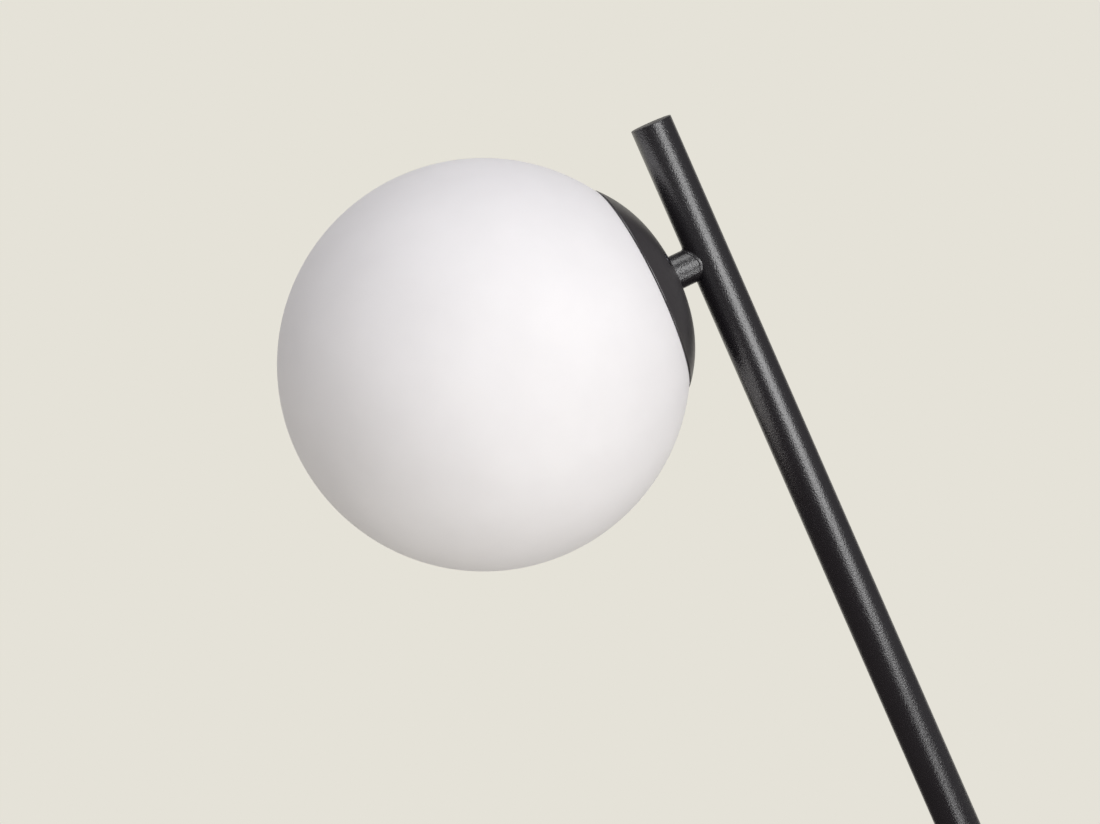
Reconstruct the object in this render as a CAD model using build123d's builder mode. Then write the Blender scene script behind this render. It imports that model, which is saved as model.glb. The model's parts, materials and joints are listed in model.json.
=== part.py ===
from build123d import *
import os
from math import asin, cos, degrees, radians, sin, sqrt, tan

# A floor lamp whose straight stem leans over a round weighted base. A short arm near the top of
# the stem carries a shallow cup, and an opal glass globe screws into the holder inside that cup.
# The origin is the middle of the base's underside, on the floor. The lamp leans in the XZ plane,
# towards -X.

# Base, in millimetres
base_diameter = 300.0
base_height = 26.0  # floor to the flat top of the cover
cover_wall = 1.5
cover_edge_radius = 5.0
cover_lift = 2.0  # floor to the lower edge of the cover
pad_thickness = 3.0
pad_inset = 2.0  # the pad's edge lies this far inside the weight's edge
weight_gap = 0.5  # all round, between the weight and the cover
weight_headroom = 0.3
nut_pocket_diameter = 46.0
nut_pocket_roof = 7.0  # iron left above the pocket for the nut
channel_width = 16.0  # passage for the mains lead, from the pocket to the gland
foot_inset = 50.0  # edge of the base to the foot of the stem

# Gland where the mains lead enters the base
gland_height = 10.0
gland_bore = 7.2
gland_neck = 10.0
gland_flange = 12.0
gland_lip = 3.0  # thickness of each of its two flanges

# Stem
stem_lean = 24.2  # degrees from the vertical
stem_diameter = 21.0
stem_wall = 1.5
stem_length = 1642.0  # along its axis, from the top of the base to the end of the upper tube
middle_tube_length = 540.0
upper_tube_length = 542.0
top_edge_break = 0.3  # on the upper tube's end
cap_length = 12.0  # plug inside the upper tube, flush with its end

# Socket that holds the foot of the stem
socket_flange_diameter = 58.0
socket_flange_thickness = 6.0
socket_edge_radius = 2.0
socket_collar_wall = 3.6
socket_collar_length = 46.0  # along the stem's axis, from the top of the base
socket_root_radius = 3.0
collar_edge_radius = 1.0
tube_seat = 13.0  # along the stem's axis, from the top of the base to the end of the lower tube
grub_diameter = 5.0
grub_height = 33.0
grub_key = 2.5  # across the flats of its hexagon socket
pin_diameter = 4.0
pin_offset = 20.0  # from the stem's foot to the locating pin
pin_depth = 4.0  # into the socket, and twice as far into the weight

# Screwed joints between the tubes
joint_thread = 12.0
joint_bore = 7.4
joint_grip = 24.0  # length that each half fills inside its tube
joint_screw_length = 19.0
joint_lead_in = 0.8  # chamfer on the end of the screw

# Hollow threaded nipples, their nuts and washers
nipple_diameter = 10.0
nipple_bore = 7.2
foot_nipple_engagement = 9.0
foot_nut_width = 15.0
foot_nut_thickness = 4.0
foot_washer_diameter = 32.0
foot_washer_thickness = 2.0
nipple_tail = 0.8  # end of the nipple that shows past the nut
arm_nut_width = 14.0
arm_nut_thickness = 4.0
lock_washer_diameter = 16.0
lock_washer_thickness = 0.8

# Arm and head
arm_diameter = 17.2
arm_below_top = 71.1  # along the stem, from its top to the axis of the arm
arm_cock = 0.9  # degrees by which the arm rises above square to the stem
arm_length = 9.3  # crown of the cup to the near side of the stem

# Cup over the globe
cup_stand_off = 3.4  # globe's sphere to the outside of the cup, at its crown
cup_wall = 1.0
cup_crown_angle = 14.0  # degrees from the head's axis, where the crown's arc ends
cup_rim_angle = 32.3
cup_rim_proud = 0.5  # the rim's outer edge stands this far outside the globe's sphere
rim_gap = 0.5  # between the rim and the glass

# Screws that fasten the holder ring to the cup
screw_count = 3
screw_circle_radius = 30.0
screw_first_angle = 10.0  # about the head's axis, from the downward side
screw_head_diameter = 6.4
screw_head_height = 1.3
screw_diameter = 3.0
screw_length = 5.5
screw_slot = 0.9
screw_slot_length = 3.2
screw_slot_depth = 0.7
dimple_diameter = 8.0
dimple_depth = 1.0
dimple_floor = 1.4

# Glass globe and its screwed neck
globe_diameter = 200.0
glass_wall = 3.0
rebate_width = 0.9  # step in the glass that takes the rim of the cup
rebate_depth = 1.35
neck_diameter = 76.0
neck_length = 8.7

# Holder ring and the seal under it
ring_wall = 1.2
ring_skirt_wall = 2.8
ring_hole_diameter = 26.0
seal_thickness = 1.5

# Lampholder
holder_diameter = 40.0
holder_wall = 1.6
holder_collar_diameter = 17.0
holder_collar_length = 9.0
holder_dome_height = 8.0
holder_cap_length = 11.0  # straight part of the cap
holder_skirt_length = 28.0
holder_mouth_diameter = 30.0
holder_ledge_width = 2.0
holder_ledge_height = 2.4
core_height = 11.0
core_above_skirt = 6.0
core_recess = 3.7  # depth of the seat for the screwed shell
terminal_diameter = 6.0
terminal_depth = 5.5
terminal_offset = 9.0
terminal_screw_height = 3.0
terminal_slot = 1.0
terminal_slot_depth = 1.0
shell_wall = 0.5
shell_length = 18.0
tongue_thickness = 0.5
tongue_width = 5.0
tongue_drop = 1.5  # how far it springs down towards the bulb

# Bulb
bulb_diameter = 45.0
bulb_thread_diameter = 26.2
bulb_thread_length = 16.0
bulb_button_diameter = 9.0
bulb_button_height = 1.2
bulb_insulator_height = 2.4
bulb_neck_diameter = 28.0
bulb_body_length = 22.0
bulb_collar_length = 5.5  # straight part of the body, below the cap
bulb_joint_diameter = 42.0  # where the dome meets the body
bulb_dome_wall = 1.5

# Clearances
seat_gap = 0.05  # between fixed pieces that sit on each other
slip_fit = 0.1  # radial, where one piece slides into another
screw_fit = 0.05  # radial, round a thread
running_gap = 0.3  # between pieces that move past each other
thread_play = 0.4  # radial, round the coarse thread of the globe and of the bulb

# Radii and frames that the pieces share
base_radius = base_diameter / 2
foot_offset = base_radius - foot_inset
stem_radius = stem_diameter / 2
stem_bore_radius = stem_radius - stem_wall
nipple_radius = nipple_diameter / 2
globe_radius = globe_diameter / 2
cup_radius = globe_radius + cup_stand_off
arm_reach = cup_radius + arm_length + stem_radius  # middle of the globe to the stem's axis
neck_radius = neck_diameter / 2
holder_radius = holder_diameter / 2

lean = radians(stem_lean)
stem_up = Vector(-sin(lean), 0, cos(lean))
stem_side = Vector(cos(lean), 0, sin(lean))
stem_foot = Vector(foot_offset, 0, base_height)
stem_axis = Axis(stem_foot, stem_up)
stem_plane = Plane(origin=stem_foot, x_dir=stem_side, z_dir=stem_up)
lower_top = stem_length - upper_tube_length - middle_tube_length
middle_top = stem_length - upper_tube_length

# The head's axis runs from the middle of the globe to the stem, and heights along it start there.
rise = radians(stem_lean + arm_cock)
head_out = Vector(cos(rise), 0, sin(rise))
head_down = Vector(sin(rise), 0, -cos(rise))
arm_root = stem_foot + stem_up * (stem_length - arm_below_top)
globe_centre = arm_root - head_out * arm_reach
head_plane = Plane(origin=globe_centre, x_dir=head_down, z_dir=head_out)
head_axis = Axis(globe_centre, head_out)
# In this plane x is the radius from the head's axis, and y the height along it.
head_section = Plane(origin=globe_centre, x_dir=head_down, z_dir=(0, -1, 0))

os.makedirs("parts", exist_ok=True)


def keep(piece, name):
    piece.part.label = name
    export_step(piece.part, f"parts/{name}.step")


# Point of a head section at a radius from the globe's middle, turned from the head's axis
def polar(radius, angle):
    return (radius * sin(radians(angle)), radius * cos(radians(angle)))


# Tube or ring in the open part, standing on a plane
def ring_run(plane, outer_radius, inner_radius, length):
    with BuildSketch(plane) as section:
        Circle(outer_radius)
        Circle(inner_radius, mode=Mode.SUBTRACT)
    extrude(section.sketch, amount=length)


# Hexagon nut in the open part, with its bore, standing on a plane
def hexagon_nut(plane, width, thickness):
    with BuildSketch(plane) as section:
        RegularPolygon(width / 2, 6, major_radius=False)
        Circle(nipple_radius + screw_fit, mode=Mode.SUBTRACT)
    extrude(section.sketch, amount=thickness)


# Solid of revolution about the head's axis in the open part, from a closed outline
def turn_outline(*points):
    with BuildSketch(head_section) as section:
        with BuildLine():
            Polyline(*points, close=True)
        make_face()
    revolve(section.sketch, axis=head_axis)


# Base: felt pad, iron weight and pressed cover
weight_radius = base_radius - cover_wall - weight_gap
weight_thickness = base_height - cover_wall - weight_headroom - pad_thickness
pocket_depth = weight_thickness - nut_pocket_roof
foot_spot = (foot_offset, 0)
pin_spot = (foot_offset + pin_offset, 0)

with BuildPart() as base_pad:
    with BuildSketch(Plane.XY):
        Circle(weight_radius - pad_inset)
    extrude(amount=pad_thickness)
keep(base_pad, "base_pad")

with BuildPart() as base_weight:
    with BuildSketch(Plane.XY.offset(pad_thickness)):
        Circle(weight_radius)
    extrude(amount=weight_thickness)
    fillet(base_weight.edges().group_by(Axis.Z)[-1], radius=cover_edge_radius - cover_wall)
    with BuildSketch(Plane.XY.offset(pad_thickness)):
        with Locations(foot_spot):
            Circle(nut_pocket_diameter / 2)
            Rectangle(base_diameter, channel_width, align=(Align.MIN, Align.CENTER))
    extrude(amount=pocket_depth, mode=Mode.SUBTRACT)
    with BuildSketch(Plane.XY.offset(pad_thickness)):
        with Locations(foot_spot):
            Circle(nipple_radius + running_gap)
    extrude(amount=weight_thickness, mode=Mode.SUBTRACT)
    with BuildSketch(Plane.XY.offset(pad_thickness + weight_thickness)):
        with Locations(pin_spot):
            Circle(pin_diameter / 2 + screw_fit)
    extrude(amount=-(2 * pin_depth), mode=Mode.SUBTRACT)
keep(base_weight, "base_weight")

with BuildPart() as base_cover:
    with BuildSketch(Plane.XY.offset(cover_lift)):
        Circle(base_radius)
    extrude(amount=base_height - cover_lift)
    fillet(base_cover.edges().group_by(Axis.Z)[-1], radius=cover_edge_radius)
    offset(amount=-cover_wall, openings=base_cover.faces().sort_by(Axis.Z)[0])
    with BuildSketch(Plane.XY.offset(base_height - 2 * cover_wall)):
        with Locations(foot_spot):
            Circle(nipple_radius + running_gap)
        with Locations(pin_spot):
            Circle(pin_diameter / 2 + screw_fit)
    extrude(amount=3 * cover_wall, mode=Mode.SUBTRACT)
    with BuildSketch(Plane.YZ.offset(base_radius - 3 * cover_wall)):
        with Locations((0, gland_height)):
            Circle(gland_neck / 2 + seat_gap)
    extrude(amount=4 * cover_wall, mode=Mode.SUBTRACT)
keep(base_cover, "base_cover")

# The gland grips the edge of the hole in the cover's wall between its two flanges.
wall_sag = (gland_flange / 2) ** 2 / base_diameter
flange_out = base_radius + seat_gap
flange_in = base_radius - cover_wall - wall_sag - seat_gap
with BuildPart() as cord_gland:
    with BuildSketch(Plane.XZ):
        with BuildLine():
            Polyline(
                (flange_in - gland_lip, gland_height + gland_bore / 2),
                (flange_out + gland_lip, gland_height + gland_bore / 2),
                (flange_out + gland_lip, gland_height + gland_neck / 2),
                (flange_out + gland_lip / 2, gland_height + gland_flange / 2),
                (flange_out, gland_height + gland_flange / 2),
                (flange_out, gland_height + gland_neck / 2),
                (flange_in, gland_height + gland_neck / 2),
                (flange_in, gland_height + gland_flange / 2),
                (flange_in - gland_lip, gland_height + gland_neck / 2),
                close=True,
            )
        make_face()
    revolve(axis=Axis((0, 0, gland_height), (1, 0, 0)))
keep(cord_gland, "cord_gland")

# Foot of the stem: an angled socket, its nipple, washer, nut, locating pin and grub screw
socket_bore_radius = stem_radius + slip_fit
collar_radius = socket_bore_radius + socket_collar_wall
collar_sink = collar_radius * tan(lean) + socket_edge_radius
grub_plane = Plane(origin=stem_foot + stem_up * grub_height, z_dir=stem_side)
with BuildPart() as stem_socket:
    with BuildSketch(Plane.XY.offset(base_height)):
        with Locations(foot_spot):
            Circle(socket_flange_diameter / 2)
    extrude(amount=socket_flange_thickness)
    fillet(stem_socket.edges().group_by(Axis.Z)[-1], radius=socket_edge_radius)
    with BuildSketch(stem_plane.offset(-collar_sink)):
        Circle(collar_radius)
    extrude(amount=collar_sink + socket_collar_length)
    split(bisect_by=Plane.XY.offset(base_height), keep=Keep.TOP)
    root_height = base_height + socket_flange_thickness
    root_edges = stem_socket.edges().filter_by(GeomType.ELLIPSE)
    root_edges = root_edges.filter_by(lambda edge: abs(edge.center().Z - root_height) < seat_gap)
    fillet(root_edges, radius=socket_root_radius)
    fillet(stem_socket.edges().group_by(stem_axis)[-1], radius=collar_edge_radius)
    with BuildSketch(stem_plane.offset(tube_seat)):
        Circle(socket_bore_radius)
    extrude(amount=socket_collar_length, mode=Mode.SUBTRACT)
    with BuildSketch(Plane.XY.offset(base_height)):
        with Locations(foot_spot):
            Circle(nipple_radius + screw_fit)
    extrude(amount=2 * tube_seat, mode=Mode.SUBTRACT)
    with BuildSketch(Plane.XY.offset(base_height)):
        with Locations(pin_spot):
            Circle(pin_diameter / 2 + screw_fit)
    extrude(amount=pin_depth, mode=Mode.SUBTRACT)
    with BuildSketch(grub_plane):
        Circle(grub_diameter / 2 + screw_fit)
    extrude(amount=2 * collar_radius, mode=Mode.SUBTRACT)
keep(stem_socket, "stem_socket")

grub_start = stem_radius + seat_gap
with BuildPart() as foot_grub_screw:
    with BuildSketch(grub_plane.offset(grub_start)):
        Circle(grub_diameter / 2)
    extrude(amount=collar_radius - grub_start)
    with BuildSketch(grub_plane.offset(collar_radius)):
        RegularPolygon(grub_key / 2, 6, major_radius=False)
    extrude(amount=-(collar_radius - grub_start) / 2, mode=Mode.SUBTRACT)
keep(foot_grub_screw, "foot_grub_screw")

with BuildPart() as locating_pin:
    with BuildSketch(Plane.XY.offset(base_height + pin_depth - seat_gap)):
        with Locations(pin_spot):
            Circle(pin_diameter / 2)
    extrude(amount=-(3 * pin_depth))
keep(locating_pin, "locating_pin")

pocket_top = pad_thickness + pocket_depth
foot_washer_level = pocket_top - seat_gap - foot_washer_thickness
foot_nut_level = foot_washer_level - seat_gap - foot_nut_thickness
foot_nipple_level = foot_nut_level - nipple_tail
foot_nipple_length = base_height + foot_nipple_engagement - foot_nipple_level


# Level plane at the stem's foot
def foot_plane(level):
    return Plane(origin=(foot_offset, 0, level))


with BuildPart() as foot_nipple:
    ring_run(foot_plane(foot_nipple_level), nipple_radius, nipple_bore / 2, foot_nipple_length)
keep(foot_nipple, "foot_nipple")

with BuildPart() as foot_washer:
    ring_run(
        foot_plane(foot_washer_level),
        foot_washer_diameter / 2,
        nipple_radius + running_gap,
        foot_washer_thickness,
    )
keep(foot_washer, "foot_washer")

with BuildPart() as foot_nut:
    hexagon_nut(foot_plane(foot_nut_level), foot_nut_width, foot_nut_thickness)
keep(foot_nut, "foot_nut")

# Stem: three tubes, a screwed joint between each two, and the plug that closes the top
with BuildPart() as lower_tube:
    tube_foot = tube_seat + seat_gap
    ring_run(stem_plane.offset(tube_foot), stem_radius, stem_bore_radius, lower_top - tube_foot)
keep(lower_tube, "lower_tube")

with BuildPart() as middle_tube:
    ring_run(stem_plane.offset(lower_top), stem_radius, stem_bore_radius, middle_tube_length)
keep(middle_tube, "middle_tube")

with BuildPart() as upper_tube:
    ring_run(stem_plane.offset(middle_top), stem_radius, stem_bore_radius, upper_tube_length)
    with BuildSketch(Plane(origin=arm_root, z_dir=-head_out)):
        Circle(nipple_bore / 2)
    extrude(amount=stem_diameter, mode=Mode.SUBTRACT)
    top_edges = upper_tube.edges().group_by(stem_axis)[-1]
    chamfer(top_edges.sort_by(SortBy.RADIUS)[-1], length=top_edge_break)
keep(upper_tube, "upper_tube")

joint_radius = stem_bore_radius - slip_fit
for place, joint_height in (("lower", lower_top), ("upper", middle_top)):
    with BuildPart() as joint_insert:
        ring_run(
            stem_plane.offset(joint_height - joint_grip),
            joint_radius,
            joint_thread / 2 + screw_fit,
            joint_grip,
        )
    keep(joint_insert, f"{place}_joint_insert")

    with BuildPart() as joint_stud:
        ring_run(stem_plane.offset(joint_height + seat_gap), joint_radius, joint_bore / 2, joint_grip)
        ring_run(
            stem_plane.offset(joint_height + seat_gap - joint_screw_length),
            joint_thread / 2,
            joint_bore / 2,
            joint_screw_length,
        )
        screw_end = joint_stud.edges().group_by(stem_axis)[0]
        chamfer(screw_end.sort_by(SortBy.RADIUS)[-1], length=joint_lead_in)
    keep(joint_stud, f"{place}_joint_stud")

with BuildPart() as stem_cap:
    with BuildSketch(stem_plane.offset(stem_length)):
        Circle(joint_radius)
    extrude(amount=-cap_length)
keep(stem_cap, "stem_cap")

# Arm: a short bar coped to the stem at one end and hollowed to the cup's crown at the other
with BuildPart() as arm_stub:
    with BuildSketch(head_plane.offset(globe_radius)):
        Circle(arm_diameter / 2)
        Circle(nipple_radius + screw_fit, mode=Mode.SUBTRACT)
    extrude(amount=arm_reach - stem_wall - globe_radius)
    with BuildSketch(stem_plane.offset(stem_length - arm_below_top - arm_diameter)):
        Circle(stem_radius + seat_gap)
    extrude(amount=2 * arm_diameter, mode=Mode.SUBTRACT)
    with Locations(Location(head_plane)):
        Sphere(cup_radius + seat_gap, mode=Mode.SUBTRACT)
keep(arm_stub, "arm_stub")

# Cup: a crown concentric with the globe, then a tighter arc that closes on the glass at the rim
crown_start = degrees(asin((nipple_radius + running_gap) / cup_radius))
crown_sweep = crown_start - cup_crown_angle
cup_inner_radius = cup_radius - cup_wall
rim_outer = Vector(*polar(globe_radius + cup_rim_proud, cup_rim_angle))
screw_tilt = degrees(asin(screw_circle_radius / cup_radius))
screw_lean = Vector(0, 0, 1).rotate(Axis.Y, screw_tilt)
screw_turns = [screw_first_angle + 360 / screw_count * turn for turn in range(screw_count)]
screw_directions = [
    head_plane.from_local_coords(screw_lean.rotate(Axis.Z, turn)) - globe_centre for turn in screw_turns
]


# Planes square to the cup at its screws, at a radius from the middle of the globe
def screw_planes(radius):
    return [Plane(origin=globe_centre + out * radius, z_dir=out) for out in screw_directions]


dimple_level = cup_radius - dimple_depth
boss_level = dimple_level - dimple_floor
with BuildPart() as globe_cup:
    with BuildSketch(head_section):
        with BuildLine():
            crown = CenterArc((0, 0), cup_radius, 90 - crown_start, crown_sweep)
            side = TangentArc(crown @ 1, rim_outer, tangent=crown % 1)
            run = side % 1
            rim_inner = rim_outer + Vector(run.Y, -run.X) * cup_wall
            inner_crown = CenterArc((0, 0), cup_inner_radius, 90 - crown_start, crown_sweep)
            inner_side = TangentArc(inner_crown @ 1, rim_inner, tangent=inner_crown % 1)
            Line(side @ 1, inner_side @ 1)
            Line(crown @ 0, inner_crown @ 0)
        make_face()
    revolve(axis=head_axis)
    with BuildSketch(*screw_planes(boss_level)):
        Circle(dimple_diameter / 2 + cup_wall)
    extrude(amount=dimple_floor + dimple_depth / 2)
    with BuildSketch(*screw_planes(dimple_level)):
        Circle(dimple_diameter / 2)
    extrude(amount=2 * dimple_depth, mode=Mode.SUBTRACT)
    with BuildSketch(*screw_planes(boss_level)):
        Circle(screw_diameter / 2 + slip_fit)
    extrude(amount=2 * dimple_floor, mode=Mode.SUBTRACT)
keep(globe_cup, "globe_cup")

with BuildPart() as cup_screws:
    with BuildSketch(*screw_planes(dimple_level + seat_gap)):
        Circle(screw_head_diameter / 2)
    extrude(amount=screw_head_height)
    with BuildSketch(*screw_planes(dimple_level + seat_gap)):
        Circle(screw_diameter / 2)
    extrude(amount=-screw_length)
    with BuildSketch(*screw_planes(dimple_level + seat_gap + screw_head_height)):
        Rectangle(screw_slot_length, screw_slot)
        Rectangle(screw_slot, screw_slot_length)
    extrude(amount=-screw_slot_depth, mode=Mode.SUBTRACT)
keep(cup_screws, "cup_screws")

# Nipple, lock washer and nut that hold the cup against the arm
lock_washer_top = sqrt(cup_inner_radius**2 - (lock_washer_diameter / 2) ** 2) - seat_gap
lock_washer_level = lock_washer_top - lock_washer_thickness
arm_nut_level = lock_washer_level - seat_gap - arm_nut_thickness
holder_top = arm_nut_level - seat_gap
holder_collar_level = holder_top - holder_collar_length
arm_nipple_top = arm_reach - stem_radius - stem_wall

with BuildPart() as arm_nipple:
    ring_run(
        head_plane.offset(holder_collar_level),
        nipple_radius,
        nipple_bore / 2,
        arm_nipple_top - holder_collar_level,
    )
keep(arm_nipple, "arm_nipple")

with BuildPart() as lock_washer:
    ring_run(
        head_plane.offset(lock_washer_level),
        lock_washer_diameter / 2,
        nipple_radius + slip_fit,
        lock_washer_thickness,
    )
keep(lock_washer, "lock_washer")

with BuildPart() as arm_nut:
    hexagon_nut(head_plane.offset(arm_nut_level), arm_nut_width, arm_nut_thickness)
keep(arm_nut, "arm_nut")

# Glass globe: a sphere with a rebate for the cup's rim, a flat shoulder and a screwed neck
glass_end_angle = cup_rim_angle + degrees(rim_gap / globe_radius)
glass_end = polar(globe_radius, glass_end_angle)
shoulder = glass_end[1] - rebate_depth
neck_top = shoulder + neck_length
glass_inner_radius = globe_radius - glass_wall
neck_bore_radius = neck_radius - glass_wall
inner_shoulder = shoulder - glass_wall
inner_angle = degrees(asin(inner_shoulder / glass_inner_radius))
with BuildPart() as glass_globe:
    with BuildSketch(head_section):
        with BuildLine():
            CenterArc((0, 0), globe_radius, -90, 180 - glass_end_angle)
            Polyline(
                glass_end,
                (glass_end[0] - rebate_width, shoulder),
                (neck_radius, shoulder),
                (neck_radius, neck_top - glass_wall / 2),
            )
            ThreePointArc(
                (neck_radius, neck_top - glass_wall / 2),
                (neck_radius - glass_wall / 2, neck_top),
                (neck_bore_radius, neck_top - glass_wall / 2),
            )
            inner = CenterArc((0, 0), glass_inner_radius, -90, 90 + inner_angle)
            Polyline(
                (neck_bore_radius, neck_top - glass_wall / 2),
                (neck_bore_radius, inner_shoulder),
                inner @ 1,
            )
            Line((0, -globe_radius), (0, -glass_inner_radius))
        make_face()
    revolve(axis=head_axis)
keep(glass_globe, "glass_globe")

# Holder ring: a dished plate under the cup, with the skirt that takes the neck's thread
skirt_inner = neck_radius + thread_play
skirt_outer = skirt_inner + ring_skirt_wall
seal_level = shoulder + running_gap
skirt_level = seal_level + seal_thickness + running_gap
ring_outer_radius = boss_level - seat_gap
ring_inner_radius = ring_outer_radius - ring_wall
ring_start = degrees(asin(ring_hole_diameter / 2 / ring_outer_radius))
ring_start_inner = degrees(asin(ring_hole_diameter / 2 / ring_inner_radius))
ring_end = degrees(asin(skirt_outer / ring_outer_radius))
ring_end_inner = degrees(asin(skirt_inner / ring_inner_radius))
with BuildPart() as globe_ring:
    with BuildSketch(head_section):
        with BuildLine():
            plate = CenterArc((0, 0), ring_outer_radius, 90 - ring_start, ring_start - ring_end)
            plate_inner = CenterArc(
                (0, 0), ring_inner_radius, 90 - ring_start_inner, ring_start_inner - ring_end_inner
            )
            Polyline(plate @ 1, (skirt_outer, skirt_level), (skirt_inner, skirt_level), plate_inner @ 1)
            Line(plate @ 0, plate_inner @ 0)
        make_face()
    revolve(axis=head_axis)
    with BuildSketch(*screw_planes(ring_inner_radius - ring_wall)):
        Circle(screw_diameter / 2 + screw_fit)
    extrude(amount=3 * ring_wall, mode=Mode.SUBTRACT)
keep(globe_ring, "globe_ring")

with BuildPart() as globe_seal:
    ring_run(head_plane.offset(seal_level), skirt_outer, neck_radius + running_gap, seal_thickness)
keep(globe_seal, "globe_seal")

# Lampholder: cap, skirt, ceramic core, terminal screws, screwed shell and centre contact
cap_shoulder = holder_collar_level - holder_dome_height
cap_end = cap_shoulder - holder_cap_length
skirt_end = cap_end - holder_skirt_length
holder_inner = holder_radius - holder_wall
collar_radius_out = holder_collar_diameter / 2
core_level = cap_end + core_above_skirt - core_height
core_radius = holder_inner - slip_fit

with BuildPart() as lampholder_cap:
    turn_outline(
        (nipple_radius + screw_fit, holder_top),
        (collar_radius_out, holder_top),
        (collar_radius_out, holder_collar_level),
        (holder_inner, cap_shoulder + holder_wall),
        (holder_radius, cap_shoulder),
        (holder_radius, cap_end),
        (holder_inner, cap_end),
        (holder_inner, cap_shoulder - holder_wall),
        (collar_radius_out - holder_wall, holder_collar_level - holder_wall),
        (nipple_radius + screw_fit, holder_collar_level - holder_wall),
    )
keep(lampholder_cap, "lampholder_cap")

ledge_top = core_level - seat_gap
with BuildPart() as lampholder_skirt:
    turn_outline(
        (holder_radius, cap_end - seat_gap),
        (holder_radius, skirt_end),
        (holder_mouth_diameter / 2, skirt_end),
        (holder_mouth_diameter / 2, skirt_end + holder_wall),
        (holder_inner, skirt_end + holder_wall),
        (holder_inner, ledge_top - holder_ledge_height),
        (holder_inner - holder_ledge_width, ledge_top - holder_ledge_height),
        (holder_inner - holder_ledge_width, ledge_top),
        (holder_inner, ledge_top),
        (holder_inner, cap_end - seat_gap),
    )
keep(lampholder_skirt, "lampholder_skirt")

shell_inner = bulb_thread_diameter / 2 + thread_play
shell_outer = shell_inner + shell_wall
terminal_spots = ((terminal_offset, 0), (-terminal_offset, 0))
with BuildPart() as lampholder_core:
    with BuildSketch(head_plane.offset(core_level)):
        Circle(core_radius)
    extrude(amount=core_height)
    with BuildSketch(head_plane.offset(core_level)):
        Circle(shell_outer + seat_gap)
    extrude(amount=core_recess, mode=Mode.SUBTRACT)
    with BuildSketch(head_plane.offset(core_level + core_height)):
        with Locations(*terminal_spots):
            Circle(terminal_diameter / 2)
    extrude(amount=-terminal_depth, mode=Mode.SUBTRACT)
keep(lampholder_core, "lampholder_core")

terminal_level = core_level + core_height - terminal_depth + seat_gap
with BuildPart() as terminal_screws:
    with BuildSketch(head_plane.offset(terminal_level)):
        with Locations(*terminal_spots):
            Circle(terminal_diameter / 2 - slip_fit)
    extrude(amount=terminal_screw_height)
    with BuildSketch(head_plane.offset(terminal_level + terminal_screw_height)):
        with Locations(*terminal_spots):
            Rectangle(terminal_diameter, terminal_slot)
    extrude(amount=-terminal_slot_depth, mode=Mode.SUBTRACT)
keep(terminal_screws, "terminal_screws")

core_seat = core_level + core_recess
with BuildPart() as lampholder_shell:
    shell_level = core_seat - seat_gap - shell_length
    ring_run(head_plane.offset(shell_level), shell_outer, shell_inner, shell_length)
keep(lampholder_shell, "lampholder_shell")

tongue_root = core_seat - seat_gap
with BuildPart() as lampholder_tongue:
    with BuildSketch(head_section):
        with BuildLine():
            Polyline(
                (-shell_inner + tongue_width / 2, tongue_root),
                (-tongue_width, tongue_root),
                (0, tongue_root - tongue_drop),
                (tongue_width / 2, tongue_root - tongue_drop),
                (tongue_width / 2, tongue_root - tongue_drop - tongue_thickness),
                (0, tongue_root - tongue_drop - tongue_thickness),
                (-tongue_width, tongue_root - tongue_thickness),
                (-shell_inner + tongue_width / 2, tongue_root - tongue_thickness),
                close=True,
            )
        make_face()
    extrude(amount=tongue_width / 2, both=True)
keep(lampholder_tongue, "lampholder_tongue")

# Bulb: contact button, insulator, screw cap, body and diffusing dome
button_top = tongue_root - tongue_drop - tongue_thickness - running_gap
button_level = button_top - bulb_button_height
thread_top = button_level - bulb_insulator_height
thread_level = thread_top - bulb_thread_length
thread_radius = bulb_thread_diameter / 2
button_radius = bulb_button_diameter / 2
body_level = thread_level - bulb_body_length
dome_radius = bulb_diameter / 2
dome_inner_radius = dome_radius - bulb_dome_wall
bulb_joint_radius = bulb_joint_diameter / 2
dome_centre = body_level - sqrt(dome_radius**2 - bulb_joint_radius**2)

with BuildPart() as bulb_contact:
    with BuildSketch(head_plane.offset(button_level)):
        Circle(button_radius)
    extrude(amount=bulb_button_height)
    fillet(bulb_contact.edges().group_by(head_axis)[-1], radius=bulb_button_height / 2)
keep(bulb_contact, "bulb_contact")

insulator_radius = thread_radius - bulb_insulator_height / 2
with BuildPart() as bulb_insulator:
    turn_outline(
        (0, button_level),
        (button_radius, button_level),
        (insulator_radius, thread_top),
        (0, thread_top),
    )
keep(bulb_insulator, "bulb_insulator")

with BuildPart() as bulb_cap:
    turn_outline(
        (0, thread_top),
        (insulator_radius, thread_top),
        (thread_radius, thread_top - bulb_insulator_height / 2),
        (thread_radius, thread_level),
        (0, thread_level),
    )
keep(bulb_cap, "bulb_cap")

with BuildPart() as bulb_body:
    with BuildSketch(head_section):
        with BuildLine():
            neck_end = (bulb_neck_diameter / 2, thread_level - bulb_collar_length)
            Polyline((0, thread_level), (bulb_neck_diameter / 2, thread_level), neck_end)
            flare = TangentArc(neck_end, (bulb_joint_radius, body_level), tangent=(0, -1))
            Polyline(flare @ 1, (0, body_level), (0, thread_level))
        make_face()
    revolve(axis=head_axis)
keep(bulb_body, "bulb_body")

with BuildPart() as bulb_dome:
    with Locations(Location(head_plane.offset(dome_centre))):
        Sphere(dome_radius)
        Sphere(dome_inner_radius, mode=Mode.SUBTRACT)
    split(bisect_by=head_plane.offset(body_level), keep=Keep.BOTTOM)
keep(bulb_dome, "bulb_dome")
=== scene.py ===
import bpy
import json
from math import acos, asin, atan2, cos, degrees, hypot, pi, radians, sin, sqrt
from mathutils import Matrix, Quaternion, Vector


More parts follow.
